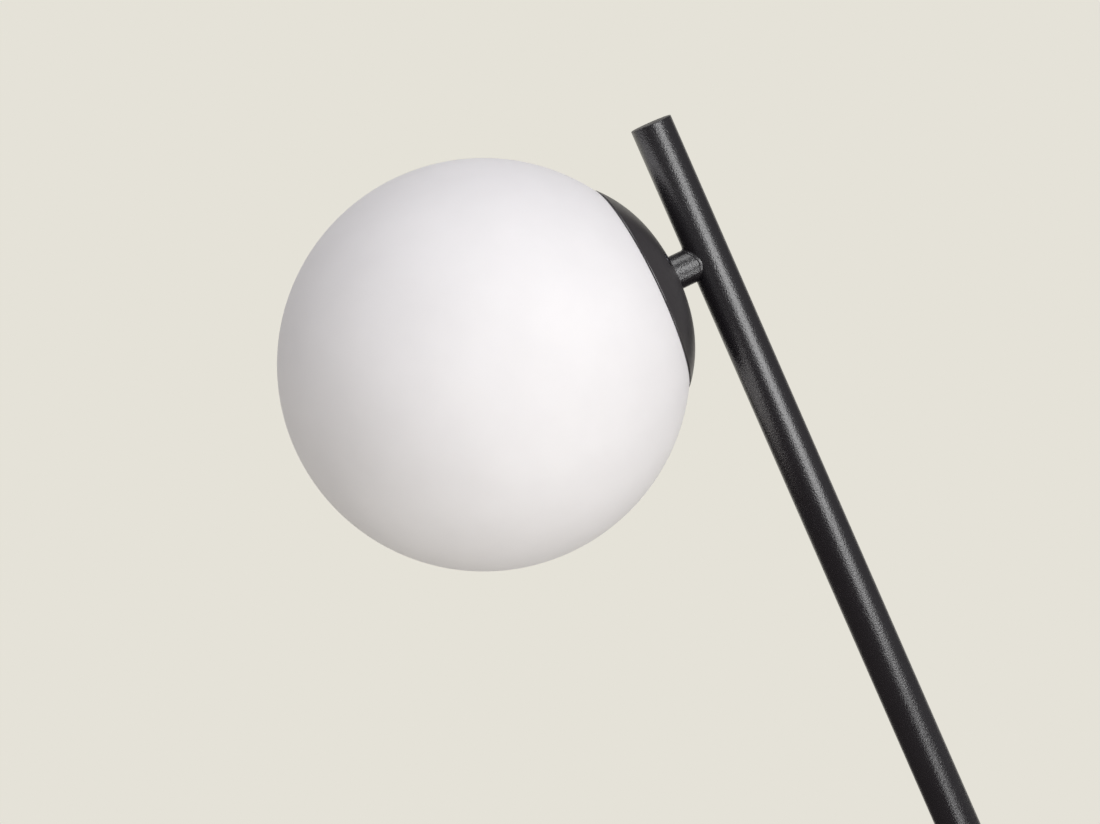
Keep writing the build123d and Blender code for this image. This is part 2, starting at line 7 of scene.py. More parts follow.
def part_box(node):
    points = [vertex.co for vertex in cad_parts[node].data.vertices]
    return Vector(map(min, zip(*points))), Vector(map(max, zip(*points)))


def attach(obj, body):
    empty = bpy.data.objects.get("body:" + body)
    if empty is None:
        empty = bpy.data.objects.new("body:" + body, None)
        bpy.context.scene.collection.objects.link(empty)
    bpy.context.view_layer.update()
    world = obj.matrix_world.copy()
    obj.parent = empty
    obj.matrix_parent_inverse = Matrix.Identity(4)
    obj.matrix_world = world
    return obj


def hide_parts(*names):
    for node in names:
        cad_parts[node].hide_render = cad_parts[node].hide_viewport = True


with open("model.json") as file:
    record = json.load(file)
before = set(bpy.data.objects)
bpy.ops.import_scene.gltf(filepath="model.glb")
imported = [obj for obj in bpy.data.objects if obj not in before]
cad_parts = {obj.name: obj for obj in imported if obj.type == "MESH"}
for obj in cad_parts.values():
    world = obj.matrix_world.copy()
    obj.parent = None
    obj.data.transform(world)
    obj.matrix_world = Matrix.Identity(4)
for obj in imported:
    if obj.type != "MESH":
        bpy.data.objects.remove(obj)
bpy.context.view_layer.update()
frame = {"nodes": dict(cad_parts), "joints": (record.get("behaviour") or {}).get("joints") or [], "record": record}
print("frame loaded:", len(frame["nodes"]), "nodes")

mm = 0.001  # sizes are written in millimetres, Blender works in metres
same = {"point": 0.002, "step": 0.001, "wall": 0.01}  # nearer than this, in mm, counts as the same
past = 1  # how far a drill reaches past a face, in mm

# Read from the frame: joints, each node's body and slot, and the places that pieces are set on. A turned
# piece is made about its own Z first.
joints = {joint["name"]: joint for joint in frame["joints"]}
bodyOf = {node: body for body, nodes in frame["record"]["behaviour"]["bodies"].items() for node in nodes}
slotOf = {part["node"]: part["material_slot"] for part in frame["record"]["subparts"]}
across = Vector((0, 1, 0))  # level, square to the lean


def boxMiddle(node):
    low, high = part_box(node)
    return (Vector(low) + Vector(high)) / 2


def placeAt(origin, up):
    side = across.cross(up)
    return Matrix.Translation(origin) @ Matrix((side, across, up)).transposed().to_4x4()


globeCentre = Vector(joints["globe_turn"]["pos_m"])
headOut = -Vector(joints["globe_turn"]["axis"]).normalized()
lowerMiddle = boxMiddle("lower_tube")
stemUp = (boxMiddle("middle_tube") - lowerMiddle).normalized()
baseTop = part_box("base_cover")[1][2]
stemFoot = lowerMiddle + stemUp * ((baseTop - lowerMiddle.z) / stemUp.z)

headPlace = placeAt(globeCentre, headOut)  # middle of the globe, Z towards the stem
stemPlace = placeAt(stemFoot, stemUp)
footPlace = Matrix.Translation((stemFoot.x, 0, 0))
pinPlace = Matrix.Translation((boxMiddle("locating_pin").x, 0, 0))
grubPlace = placeAt(boxMiddle("foot_grub_screw"), across.cross(stemUp))
glandPlace = placeAt(boxMiddle("cord_gland"), Vector((1, 0, 0)))
basePlace = Matrix.Identity(4)


# Lowest and highest point of a node along a place's Z, then its largest and smallest radius, in mm
def measure(node, place):
    toPlace = place.inverted()
    points = [toPlace @ vertex.co for vertex in frame["nodes"][node].data.vertices]
    heights = [point.z / mm for point in points]
    radii = [hypot(point.x, point.y) / mm for point in points]
    return min(heights), max(heights), max(radii), min(radii)


# Material helpers
def linear(hexColour):
    channels = [int(hexColour[i:i + 2], 16) / 255 for i in (1, 3, 5)]
    return (*[c / 12.92 if c <= 0.04045 else ((c + 0.055) / 1.055) ** 2.4 for c in channels], 1)


def addNode(tree, kind, values={}, links={}, **settings):
    node = tree.nodes.new(kind)
    for name, value in settings.items():
        setattr(node, name, value)
    for name, value in values.items():
        node.inputs[name].default_value = value
    for name, output in links.items():
        tree.links.new(output, node.inputs[name])
    return node


# Node tree of a material or a world, with nothing in it yet
def emptyTree(owner):
    owner.use_nodes = True
    owner.node_tree.nodes.clear()
    return owner.node_tree


# Two noises share the work in every finish: a broad one drifts the colour, a fine one roughens the surface
noise = {"cloudDetail": 3.0, "grainDetail": 2.0, "colourStops": (0.3, 0.7), "roughSpan": (0.25, 0.75)}
finishes = {}  # by slot


def finish(name, colours, cloud, grain, relief, rough, shader, height=None):
    material = bpy.data.materials.new(name)
    tree = emptyTree(material)
    place = addNode(tree, "ShaderNodeTexCoord").outputs["Object"]
    noises = []
    for size, detail in ((cloud, noise["cloudDetail"]), (grain, noise["grainDetail"])):
        values = {"Scale": 1 / (size * mm), "Detail": detail}
        noises.append(addNode(tree, "ShaderNodeTexNoise", values, {"Vector": place}).outputs["Fac"])
    broad, fine = noises
    colour = addNode(tree, "ShaderNodeValToRGB", {}, {"Fac": broad})
    for stop, position, shade in zip(colour.color_ramp.elements, noise["colourStops"], colours):
        stop.position = position
        stop.color = linear(shade)
    span = dict(zip(("From Min", "From Max", "To Min", "To Max"), noise["roughSpan"] + rough))
    roughness = addNode(tree, "ShaderNodeMapRange", span, {"Value": fine})
    bumps = {"Height": height(tree, place) if height else fine}
    bump = addNode(tree, "ShaderNodeBump", {"Strength": 1.0, "Distance": relief * mm}, bumps)
    surface = addNode(tree, "ShaderNodeBsdfPrincipled", shader, {
        "Base Color": colour.outputs["Color"], "Roughness": roughness.outputs["Result"],
        "Normal": bump.outputs["Normal"],
    })
    addNode(tree, "ShaderNodeOutputMaterial", {}, {"Surface": surface.outputs["BSDF"]})
    return material


# Fine-textured powder coat: a dense sandy grain that breaks each highlight into sparks
finishes["powder_black"] = finish(
    "textured_black_powder_coat", ("#120f14", "#171418"), cloud=34, grain=0.8,
    relief=0.17, rough=(0.2, 0.32), shader={"IOR": 1.72, "Specular IOR Level": 1.0},
)
# The same coat on the cut top of the stem, duller, and painted lighter grey as painted light on the top
paintedTopBlack = finish(
    "matt_black_powder_coat", ("#383538", "#403d40"), cloud=12, grain=0.5,
    relief=0.05, rough=(0.4, 0.5), shader={"IOR": 1.5, "Specular IOR Level": 0.6},
)
# Smooth satin lacquer on pressed steel: an even grey sheen, with only a faint orange peel
finishes["satin_black"] = finish(
    "satin_black_lacquer", ("#333032", "#393638"), cloud=28, grain=1.8,
    relief=0.005, rough=(0.36, 0.44), shader={"IOR": 1.5, "Specular IOR Level": 0.8},
)
# The same lacquer where it runs to the rim and dries thick: a thin bright line
glossBlack = finish(
    "gloss_black_lacquer", ("#333032", "#393638"), cloud=28, grain=1.8,
    relief=0.003, rough=(0.16, 0.24), shader={"IOR": 1.8, "Specular IOR Level": 1.0},
)
# Blown opal glass with an etched skin: milky, with light bleeding under the surface and a soft satin sheen
finishes["opal_glass"] = finish(
    "etched_opal_glass", ("#efedee", "#f4f2f3"), cloud=46, grain=0.4,
    relief=0.004, rough=(0.46, 0.58),
    shader={
        "IOR": 1.5, "Specular IOR Level": 0.3, "Subsurface Weight": 0.2, "Subsurface Scale": 6 * mm,
        "Subsurface Radius": (1.0, 0.97, 0.94),
    },
)
# Black oxide on small steel screws: dark, slightly oily metal
finishes["black_screws"] = finish(
    "black_oxide_steel", ("#434247", "#5d5c62"), cloud=1.5, grain=0.12,
    relief=0.006, rough=(0.2, 0.34), shader={"Metallic": 0.9},
)
# Sand-cast iron: dull grey and pitted
finishes["cast_iron"] = finish(
    "sand_cast_iron", ("#3d3c3d", "#565558"), cloud=12, grain=1.1,
    relief=0.3, rough=(0.58, 0.82), shader={"Metallic": 0.6},
)
# Moulded rubber: flat black with a dusty sheen
finishes["black_rubber"] = finish(
    "moulded_black_rubber", ("#171717", "#202020"), cloud=4, grain=0.25,
    relief=0.012, rough=(0.55, 0.72), shader={"IOR": 1.45, "Specular IOR Level": 0.35},
)
# Silicone: cloudy white, soft to look into
finishes["silicone"] = finish(
    "white_silicone", ("#dedcd6", "#ebe9e4"), cloud=7, grain=0.3,
    relief=0.008, rough=(0.42, 0.55),
    shader={
        "IOR": 1.41, "Subsurface Weight": 0.3, "Subsurface Scale": 3 * mm,
        "Subsurface Radius": (1.0, 1.0, 1.0),
    },
)
# Bright zinc plate: cool grey with the cloudy flow marks of the bath
finishes["zinc_steel"] = finish(
    "bright_zinc_plate", ("#b4b9c0", "#ced1d3"), cloud=5, grain=0.5,
    relief=0.01, rough=(0.22, 0.40), shader={"Metallic": 1.0},
)
# Turned brass: warm, with fine tool marks
finishes["brass"] = finish(
    "turned_brass", ("#c39a47", "#d9b769"), cloud=6, grain=0.2,
    relief=0.006, rough=(0.22, 0.38), shader={"Metallic": 1.0},
)
# Moulded thermoset of the lampholder: black with a low gloss
finishes["holder_plastic"] = finish(
    "moulded_black_thermoset", ("#161616", "#1d1c1c"), cloud=9, grain=0.6,
    relief=0.006, rough=(0.32, 0.46), shader={"IOR": 1.6},
)
# Unglazed steatite: chalky cream with fine pores
finishes["ceramic"] = finish(
    "unglazed_steatite", ("#ddd8ca", "#ece8dd"), cloud=5, grain=0.3,
    relief=0.03, rough=(0.55, 0.74), shader={"IOR": 1.55},
)
# Nickel on the bulb's screw cap: bright and rolled smooth
finishes["bulb_metal"] = finish(
    "nickel_plate", ("#c6c3bd", "#d8d6d2"), cloud=4, grain=0.3,
    relief=0.004, rough=(0.16, 0.30), shader={"Metallic": 1.0},
)
# Black glass round the bulb's contact: deep and glossy
finishes["black_vitrite"] = finish(
    "black_vitrite", ("#0a0a0c", "#131316"), cloud=3, grain=0.5,
    relief=0.01, rough=(0.08, 0.18), shader={"IOR": 1.52},
)
# White moulded plastic of the bulb's body
finishes["bulb_plastic"] = finish(
    "white_moulded_plastic", ("#e4e4e1", "#eeeeec"), cloud=9, grain=0.4,
    relief=0.006, rough=(0.36, 0.48), shader={"IOR": 1.49},
)
# Frosted diffuser of the bulb: milky and dull
finishes["bulb_diffuser"] = finish(
    "frosted_diffuser", ("#e9e7e2", "#f2f0ec"), cloud=12, grain=0.3,
    relief=0.004, rough=(0.48, 0.60),
    shader={
        "IOR": 1.49, "Subsurface Weight": 0.25, "Subsurface Scale": 3 * mm,
        "Subsurface Radius": (1.0, 1.0, 1.0),
    },
)


# Fibres of the felt: two fine noises pulled out level and crossed, so short hairs lie in the plane of the pad
hair = {"length": 2.4, "width": 0.35, "layer": 0.2, "detail": 2.0}


def feltFibres(tree, place):
    hairs = []
    for sizes in ((hair["length"], hair["width"]), (hair["width"], hair["length"])):
        scale = [1 / (size * mm) for size in (*sizes, hair["layer"])]
        lying = addNode(tree, "ShaderNodeMapping", {"Scale": scale}, {"Vector": place}).outputs[0]
        values = {"Scale": 1.0, "Detail": hair["detail"]}
        hairs.append(addNode(tree, "ShaderNodeTexNoise", values, {"Vector": lying}).outputs["Fac"])
    both = addNode(tree, "ShaderNodeMath", {}, {0: hairs[0], 1: hairs[1]}, operation="MAXIMUM")
    return both.outputs[0]


# Pressed felt: dull black with matted fibres and a dusty sheen
finishes["felt"] = finish(
    "pressed_black_felt", ("#232325", "#353538"), cloud=6, grain=0.4,
    relief=0.22, rough=(0.86, 0.97),
    shader={"Sheen Weight": 0.35, "Sheen Roughness": 0.5, "Specular IOR Level": 0.15},
    height=feltFibres,
)
print("finishes made")


# Modelling helpers
def deselectAll():
    if bpy.context.object and bpy.context.object.mode != "OBJECT":
        bpy.ops.object.mode_set(mode="OBJECT")
    bpy.ops.object.select_all(action="DESELECT")


def makeActive(piece):
    deselectAll()
    piece.select_set(True)
    bpy.context.view_layer.objects.active = piece


# Points of an arc in an outline; angles are from the axis, 0 pointing up along it
def arc(radius, fromAngle, toAngle, steps, middle=(0, 0)):
    angles = [radians(fromAngle + (toAngle - fromAngle) * i / steps) for i in range(steps + 1)]
    return [(middle[0] + radius * sin(angle), middle[1] + radius * cos(angle)) for angle in angles]


# Evenly spaced points between two, for walls that get a thread or ribs
def rows(start, end, steps):
    start, end = Vector(start), Vector(end)
    return [tuple(start.lerp(end, i / steps)) for i in range(steps + 1)]


# Merged and turned outwards: what every new mesh needs before it is shaped further
def closeMesh(piece):
    makeActive(piece)
    bpy.ops.object.mode_set(mode="EDIT")
    bpy.ops.mesh.select_all(action="SELECT")
    bpy.ops.mesh.remove_doubles(threshold=same["point"] * mm)
    bpy.ops.mesh.normals_make_consistent(inside=False)
    bpy.ops.object.mode_set(mode="OBJECT")


# One vertex drawn along a path of points in mm, left selected in edit mode
def drawnPath(name, points):
    deselectAll()
    bpy.ops.mesh.primitive_plane_add(size=1, location=(0, 0, 0))
    piece = bpy.context.object
    piece.name = name
    piece.data.name = name
    bpy.ops.object.mode_set(mode="EDIT")
    bpy.ops.mesh.merge(type="CENTER")
    here = Vector(points[0]) * mm
    bpy.ops.transform.translate(value=here)
    for point in points[1:]:
        there = Vector(point) * mm
        if (there - here).length > same["step"] * mm:
            bpy.ops.mesh.extrude_vertices_move(TRANSFORM_OT_translate={"value": there - here})
            here = there
    bpy.ops.mesh.select_all(action="SELECT")
    return piece


# Outline of a plain ring, from what measure gives
def ringOutline(low, high, radius, bore):
    return [(bore, low), (radius, low), (radius, high), (bore, high), (bore, low)]


# Outline of a solid round block with a rounded upper edge
def roundBlock(radius, low, high, edge, steps):
    return [(0, low), (radius, low)] + arc(edge, 90, 0, steps, (radius - edge, high - edge)) + [(0, high)]


# A turned piece: an outline of radii and heights, spun round Z
def turned(name, outline, steps=96):
    piece = drawnPath(name, [(radius, 0, height) for radius, height in outline])
    bpy.ops.mesh.spin(steps=steps, angle=2 * pi, center=(0, 0, 0), axis=(0, 0, 1))
    closeMesh(piece)
    return piece


# A strip of sheet: a path in XZ, extruded across and given its thickness
def bentStrip(name, path, width, thickness):
    piece = drawnPath(name, [(x, -width / 2, z) for x, z in path])
    bpy.ops.mesh.extrude_region_move(TRANSFORM_OT_translate={"value": (0, width * mm, 0)})
    closeMesh(piece)
    sheet = piece.modifiers.new("sheet", "SOLIDIFY")
    sheet.thickness = thickness * mm
    sheet.offset = 0
    bpy.ops.object.modifier_apply(modifier=sheet.name)
    return piece


def roundEdges(piece, width, segments=3, sharpest=35):
    makeActive(piece)
    bevel = piece.modifiers.new("edges", "BEVEL")
    bevel.width = width * mm
    bevel.segments = segments
    bevel.limit_method = "ANGLE"
    bevel.angle_limit = radians(sharpest)
    bpy.ops.object.modifier_apply(modifier=bevel.name)


# Boolean with a tool that is then thrown away
def cutWith(piece, tool, operation="DIFFERENCE"):
    makeActive(piece)
    boolean = piece.modifiers.new("cut", "BOOLEAN")
    boolean.operation = operation
    boolean.solver = "EXACT"
    boolean.object = tool
    bpy.ops.object.modifier_apply(modifier=boolean.name)
    bpy.data.objects.remove(tool)


# Tools for cutting, set at a place: a round or many-sided drill from low to high, and a block
def drill(radius, low, high, place=basePlace, sides=48):
    deselectAll()
    bpy.ops.mesh.primitive_cylinder_add(vertices=sides, radius=radius * mm, depth=(high - low) * mm)
    tool = bpy.context.object
    tool.matrix_world = place @ Matrix.Translation((0, 0, (low + high) / 2 * mm))
    return tool


def block(sizes, middle):
    deselectAll()
    bpy.ops.mesh.primitive_cube_add(size=1)
    tool = bpy.context.object
    stretch = Matrix.Diagonal((*[size * mm for size in sizes], 1))
    tool.matrix_world = Matrix.Translation(Vector(middle) * mm) @ stretch
    return tool


# Screw thread: a ridge winding up the wall at the crest's radius, running out at both ends
def cutThread(piece, crest, low, high, screw, inward=True):
    pitch, depth = screw["pitch"], screw["threadDepth"]
    for vertex in piece.data.vertices:
        x, y, z = vertex.co / mm
        radius = hypot(x, y)
        if abs(radius - crest) < same["wall"] and low < z < high:
            groove = 0.5 - 0.5 * cos(2 * pi * z / pitch - atan2(y, x))
            runOut = min(1, 2 * (z - low) / pitch, 2 * (high - z) / pitch)
            change = 1 + (-1 if inward else 1) * depth * groove * runOut / radius
            vertex.co.x *= change
            vertex.co.y *= change


# Upright ribs for the fingers round a wall
def cutRibs(piece, wall, low, high, count, depth):
    for vertex in piece.data.vertices:
        x, y, z = vertex.co / mm
        if abs(hypot(x, y) - wall) < same["wall"] and low < z < high:
            runOut = min(1, (z - low) / depth, (high - z) / depth)
            change = 1 - depth * runOut * (0.5 - 0.5 * cos(count * atan2(y, x))) / wall
            vertex.co.x *= change
            vertex.co.y *= change


# Works only on the faces or edges that pass a test
def editWhere(piece, kind, parts, test, edit):
    makeActive(piece)
    bpy.ops.object.mode_set(mode="EDIT")
    bpy.ops.mesh.select_mode(type=kind)
    bpy.ops.mesh.select_all(action="DESELECT")
    bpy.ops.object.mode_set(mode="OBJECT")
    for part in getattr(piece.data, parts):
        part.select = test(part)
    bpy.ops.object.mode_set(mode="EDIT")
    edit()
    bpy.ops.mesh.select_mode(type="VERT")
    bpy.ops.object.mode_set(mode="OBJECT")


# Like pieces in one: the first is moved to the first place and copied to the others
def spreadOver(first, places):
    copies = [first] + [bpy.data.objects.new("copy", first.data.copy()) for place in places[1:]]
    for piece, place in zip(copies, places):
        if piece is not first:
            bpy.context.scene.collection.objects.link(piece)
        piece.data.transform(place)
    makeActive(first)
    for piece in copies:
        piece.select_set(True)
    bpy.ops.object.join()


# Sets a piece on its place, smooths it, and tells the frame which node it stands for
def finishPiece(piece, node, place, smooth=32, material=None):
    makeActive(piece)
    piece.matrix_world = place
    bpy.ops.object.transform_apply(location=True, rotation=True, scale=True)
    bpy.ops.object.shade_smooth_by_angle(angle=radians(smooth))
    piece.data.materials.clear()
    piece.data.materials.append(material or finishes[slotOf[node]])
    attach(piece, bodyOf[node])
    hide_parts(node)
    print("made", piece.name, len(piece.data.polygons), "faces")


# Glass globe: sphere, rebate under the cup's rim, flat shoulder, screwed neck with a fire-polished lip
globe = {
    "radius": 100, "wall": 3, "endAngle": 32.5865, "rebateWidth": 0.9, "rebateDepth": 1.35, "edge": 0.6,
    "neckRadius": 38, "neckLength": 8.7, "lip": 1.5, "root": 1, "pitch": 5, "threadDepth": 0.9, "around": 192,
    "neckRows": 24,
}


def opalGlobe():
    end = arc(globe["radius"], globe["endAngle"], 180, 1)[0]
    shoulder = end[1] - globe["rebateDepth"]
    neck, lip, root = globe["neckRadius"], globe["lip"], globe["root"]
    neckTop = shoulder + globe["neckLength"] - lip
    inside = globe["radius"] - globe["wall"]
    innerShoulder = shoulder - globe["wall"]
    outline = arc(globe["radius"], 180, globe["endAngle"] + degrees(globe["edge"] / globe["radius"]), 110)
    # the edge of the rebate is melted round
    start, corner, foot = Vector(outline[-1]), Vector(end), Vector((end[0] - globe["rebateWidth"], shoulder))
    stop = corner + (foot - corner).normalized() * globe["edge"]
    outline += [start.lerp(corner, t).lerp(corner.lerp(stop, t), t) for t in (0.25, 0.5, 0.75, 1)] + [foot]
    outline += arc(root, 180, 270, 4, (neck + root, shoulder + root))
    outline += rows((neck, shoulder + root), (neck, neckTop), globe["neckRows"])
    outline += arc(lip, 90, -90, 8, (neck - lip, neckTop))
    outline += [(neck - globe["wall"], innerShoulder)]
    outline += arc(inside, degrees(acos(innerShoulder / inside)), 180, 90)
    piece = turned("opal_globe", outline, globe["around"])
    cutThread(piece, neck, shoulder + root, neckTop, globe)
    finishPiece(piece, "glass_globe", headPlace, smooth=40)


opalGlobe()

# Pressed cup: a crown concentric with the globe, then a tighter arc that closes on the glass.
# Each screw sits in a dimple pressed into the sheet.
cup = {
    "radius": 103.4, "wall": 1.0, "crownAngle": 14, "rimAngle": 32.3, "rimRadius": 100.5, "hole": 5.3,
    "rimRound": 0.45, "thickWithin": 0.35, "around": 192, "dimpleFloor": 3.5, "dimpleMouth": 4.25,
    "outsideDepth": 1.0, "insideDepth": 1.4, "finerWithin": 6.6, "finerCuts": 5, "drilled": (99, 106),
}
screws = {
    "circle": 30, "turns": (10, 130, 250), "headRadius": 3.2, "headHeight": 1.3, "headEdge": 0.75,
    "shank": 1.5, "length": 5.5, "point": 0.4, "underHead": 0.3, "pitch": 0.5, "threadDepth": 0.25,
    "slot": 0.8, "slotLength": 3.4, "slotDepth": 0.75, "level": 102.45, "hole": 1.6, "rows": 60, "around": 64,
}
screwTilt = Matrix.Rotation(asin(screws["circle"] / cup["radius"]), 4, "Y")
screwPlaces = [Matrix.Rotation(radians(turn), 4, "Z") @ screwTilt for turn in screws["turns"]]


def pressedCup():
    start = degrees(asin(cup["hole"] / cup["radius"]))
    rim = Vector(arc(cup["rimRadius"], cup["rimAngle"], 180, 1)[0])
    way = Vector(arc(1, cup["crownAngle"], 180, 1)[0])
    # the side's arc leaves the crown smoothly, so its middle lies on the same ray
    offset = (cup["radius"] ** 2 - cup["rimRadius"] ** 2) / (2 * (cup["radius"] - rim.dot(way)))
    middle = way * offset
    sideRadius = cup["radius"] - offset
    endAngle = degrees(atan2(rim.x - middle.x, rim.y - middle.y))
    outline = arc(cup["radius"], start, cup["crownAngle"], 20)
    outline += arc(sideRadius, cup["crownAngle"], endAngle, 40, middle)
    outline += arc(sideRadius - cup["wall"], endAngle, cup["crownAngle"], 40, middle)
    outline += arc(cup["radius"] - cup["wall"], cup["crownAngle"], start, 20)
    piece = turned("pressed_cup", outline + outline[:1], cup["around"])
    roundEdges(piece, cup["rimRound"])
    # finer faces round the screws, so that the dimples can be pressed
    ways = [(place @ Vector((0, 0, 1))).normalized() for place in screwPlaces]
    editWhere(
        piece, "FACE", "polygons",
        lambda face: min(face.center.cross(way).length for way in ways) < cup["finerWithin"] * mm,
        lambda: bpy.ops.mesh.subdivide(number_cuts=cup["finerCuts"]),
    )
    for vertex in piece.data.vertices:
        nearest = min(ways, key=lambda way: vertex.co.cross(way).length)
        away = vertex.co.cross(nearest).length / mm
        if away > cup["finerWithin"]:
            continue
        point = Vector((hypot(vertex.co.x, vertex.co.y), vertex.co.z)) / mm
        inCrown = degrees(atan2(point.x, point.y)) < cup["crownAngle"]
        centre, radius = (Vector((0, 0)), cup["radius"]) if inCrown else (middle, sideRadius)
        outside = (point - centre).length > radius - cup["wall"] / 2
        # back onto the true curve after the straight subdivision, then pressed in
        onCurve = centre + (point - centre).normalized() * (radius if outside else radius - cup["wall"])
        vertex.co.x *= onCurve.x / point.x
        vertex.co.y *= onCurve.x / point.x
        vertex.co.z = onCurve.y * mm
        share = min(1, max(0, (cup["dimpleMouth"] - away) / (cup["dimpleMouth"] - cup["dimpleFloor"])))
        depth = cup["outsideDepth"] if outside else cup["insideDepth"]
        vertex.co -= nearest * depth * share * share * (3 - 2 * share) * mm
    for place in screwPlaces:
        cutWith(piece, drill(screws["hole"], *cup["drilled"], place))
    finishPiece(piece, "globe_cup", headPlace, smooth=50)
    piece.data.materials.append(glossBlack)
    toHead = headPlace.inverted()
    for face in piece.data.polygons:
        point = toHead @ face.center
        angle = degrees(atan2(hypot(point.x, point.y), point.z))
        face.material_index = int(angle > cup["rimAngle"] - cup["thickWithin"])


pressedCup()


# Low-head screws with a cross recess, one modelled and two copied
def cupScrews():
    edge, head, height = screws["headEdge"], screws["headRadius"], screws["headHeight"]
    shank, tip = screws["shank"], -screws["length"]
    start = screws["point"] + tip
    outline = [(0, tip), (shank - screws["point"], tip)]
    outline += rows((shank, start), (shank, 0), screws["rows"])
    outline += [(head, 0)] + arc(edge, 90, 0, 6, (head - edge, height - edge)) + [(0, height)]
    piece = turned("cup_screw_set", outline, screws["around"])
    cutThread(piece, shank, start, -screws["underHead"], screws)
    for sizes in ((screws["slotLength"], screws["slot"]), (screws["slot"], screws["slotLength"])):
        cutWith(piece, block((*sizes, 2 * screws["slotDepth"]), (0, 0, height)))
    onCup = Matrix.Translation((0, 0, screws["level"] * mm))
    spreadOver(piece, [place @ onCup for place in screwPlaces])
    finishPiece(piece, "cup_screws", headPlace)


cupScrews()

# Arm: a bar whose ends follow the cup and the stem. A fine line runs round the stem's end, and paint fills
# the corner above it.
arm = {"bead": 1.2, "groove": 0.25, "grooveWidth": 0.5, "cupEdge": 0.3, "gap": 0.05, "around": 160}


def copedArm():
    radius, bore = measure("arm_stub", headPlace)[2:]
    stemRadius = measure("middle_tube", stemPlace)[2] + arm["gap"]
    onAxis = headPlace.inverted() @ stemFoot / mm
    along = headPlace.to_3x3().inverted() @ stemUp
    reach = onAxis.z - onAxis.x * along.z / along.x  # where the stem's axis crosses the head's
    square = Vector((along.z, 0, -along.x))
    bead, groove, stemEnd = arm["bead"], arm["groove"], 100  # heights near 100 are counted from the stem
    outline = [(bore, 0), (bore, stemEnd), (radius + bead, stemEnd)]
    outline += arc(bead, 0, -90, 8, (radius + bead, stemEnd - bead))
    lineEnd = stemEnd - bead - arm["grooveWidth"]
    outline += [(radius - groove, (lineEnd + stemEnd - bead) / 2), (radius, lineEnd)]
    outline += [(radius, arm["cupEdge"]), (radius - arm["cupEdge"], 0), (bore, 0)]
    piece = turned("coped_arm", outline, arm["around"])
    for vertex in piece.data.vertices:
        x, y, z = vertex.co / mm
        excess = hypot(x, y) / radius - 1
        if excess > 0:
            keep = 1 - excess / (1 + excess) * (1 - max(0, -x / radius) ** 2)
            x, y = x * keep, y * keep
            vertex.co.xy = x * mm, y * mm
        if z > stemEnd / 2:
            face = reach - (sqrt(stemRadius ** 2 - y * y) + square.x * x) / square.z
            vertex.co.z = (face - stemEnd + z) * mm
        else:
            vertex.co.z = (sqrt((cup["radius"] + arm["gap"]) ** 2 - x * x - y * y) + z) * mm
    finishPiece(piece, "arm_stub", headPlace, smooth=40)


copedArm()

# Stem tubes, with the edges of their ends broken and their upward faces duller and painted lighter grey as
# painted light on the top. The lead's hole is behind the arm.
tube = {"edge": 0.3, "around": 96, "leadHole": 3.6, "leadReach": 3, "cutEnd": 0.95}


def stemTube(node, name):
    piece = turned(name, ringOutline(*measure(node, stemPlace)), tube["around"])
    roundEdges(piece, tube["edge"], 2)
    if node == "upper_tube":
        start, end = measure("arm_stub", headPlace)[:2]
        alongArm = stemPlace.inverted() @ headPlace
        cutWith(piece, drill(tube["leadHole"], start, end + tube["leadReach"], alongArm))
    finishPiece(piece, node, stemPlace)
    # upward faces take the duller coat painted lighter grey: painted light on the top
    piece.data.materials.append(paintedTopBlack)
    for face in piece.data.polygons:
        face.material_index = int(face.normal.dot(stemUp) > tube["cutEnd"])


for part in ("lower", "middle", "upper"):
    stemTube(part + "_tube", "stem_" + part)

# Plug in the top of the stem: flush, with a fine broken edge and a tapered lead-in
plug = {"edge": 0.15, "leadIn": 1.0}


def stemPlug():
    low, high, radius = measure("stem_cap", stemPlace)[:3]
    taper = [(radius - plug["leadIn"], low), (radius, low + 2 * plug["leadIn"])]
    piece = turned("stem_plug", [(0, low)] + taper + [(radius, high), (0, high)])
    roundEdges(piece, plug["edge"], 2)
    # the plug takes the duller coat painted lighter grey: painted light on the stem's top
    finishPiece(piece, "stem_cap", stemPlace, material=paintedTopBlack)


stemPlug()
print("head made")

# Screwed joints inside the stem: a threaded insert below and a bored stud above
joint = {
    "edge": 0.4, "screw": 19, "crest": 6, "leadIn": 0.8, "plain": 1, "pitch": 1.5, "threadDepth": 0.8,
    "rowsPerTurn": 6, "around": 64,
}


def jointInsert(node):
    low, high, radius, bore = measure(node, stemPlace)
    edge = joint["edge"]
    count = int((high - low) / joint["pitch"] * joint["rowsPerTurn"])
    outline = rows((bore, high - edge), (bore, low + edge), count)
    outline += [(bore + edge, low), (radius, low), (radius, high), (bore + edge, high), outline[0]]
    piece = turned(node + "_turned", outline, joint["around"])
    cutThread(piece, bore, low + edge, high - edge, joint, inward=False)
    finishPiece(piece, node, stemPlace)


def jointStud(node):
    low, high, radius, bore = measure(node, stemPlace)
    seat, edge, crest = low + joint["screw"], joint["edge"], joint["crest"]
    count = int(joint["screw"] / joint["pitch"] * joint["rowsPerTurn"])
    outline = [(bore, low), (crest - joint["leadIn"], low)]
    outline += rows((crest, low + joint["leadIn"]), (crest, seat), count)
    outline += [(radius - edge, seat), (radius, seat + edge), (radius, high - edge)]
    outline += [(radius - edge, high), (bore + edge, high), (bore, high - edge), (bore, low)]
    piece = turned(node + "_turned", outline, joint["around"])
    cutThread(piece, crest, low + joint["leadIn"], seat - joint["plain"], joint)
    finishPiece(piece, node, stemPlace)


for end in ("lower", "upper"):
    jointInsert(end + "_joint_insert")
    jointStud(end + "_joint_stud")

# Hollow nipples with a fine thread from end to end
nipple = {"edge": 0.5, "pitch": 1.0, "threadDepth": 0.5, "rowsPerTurn": 6, "around": 64}


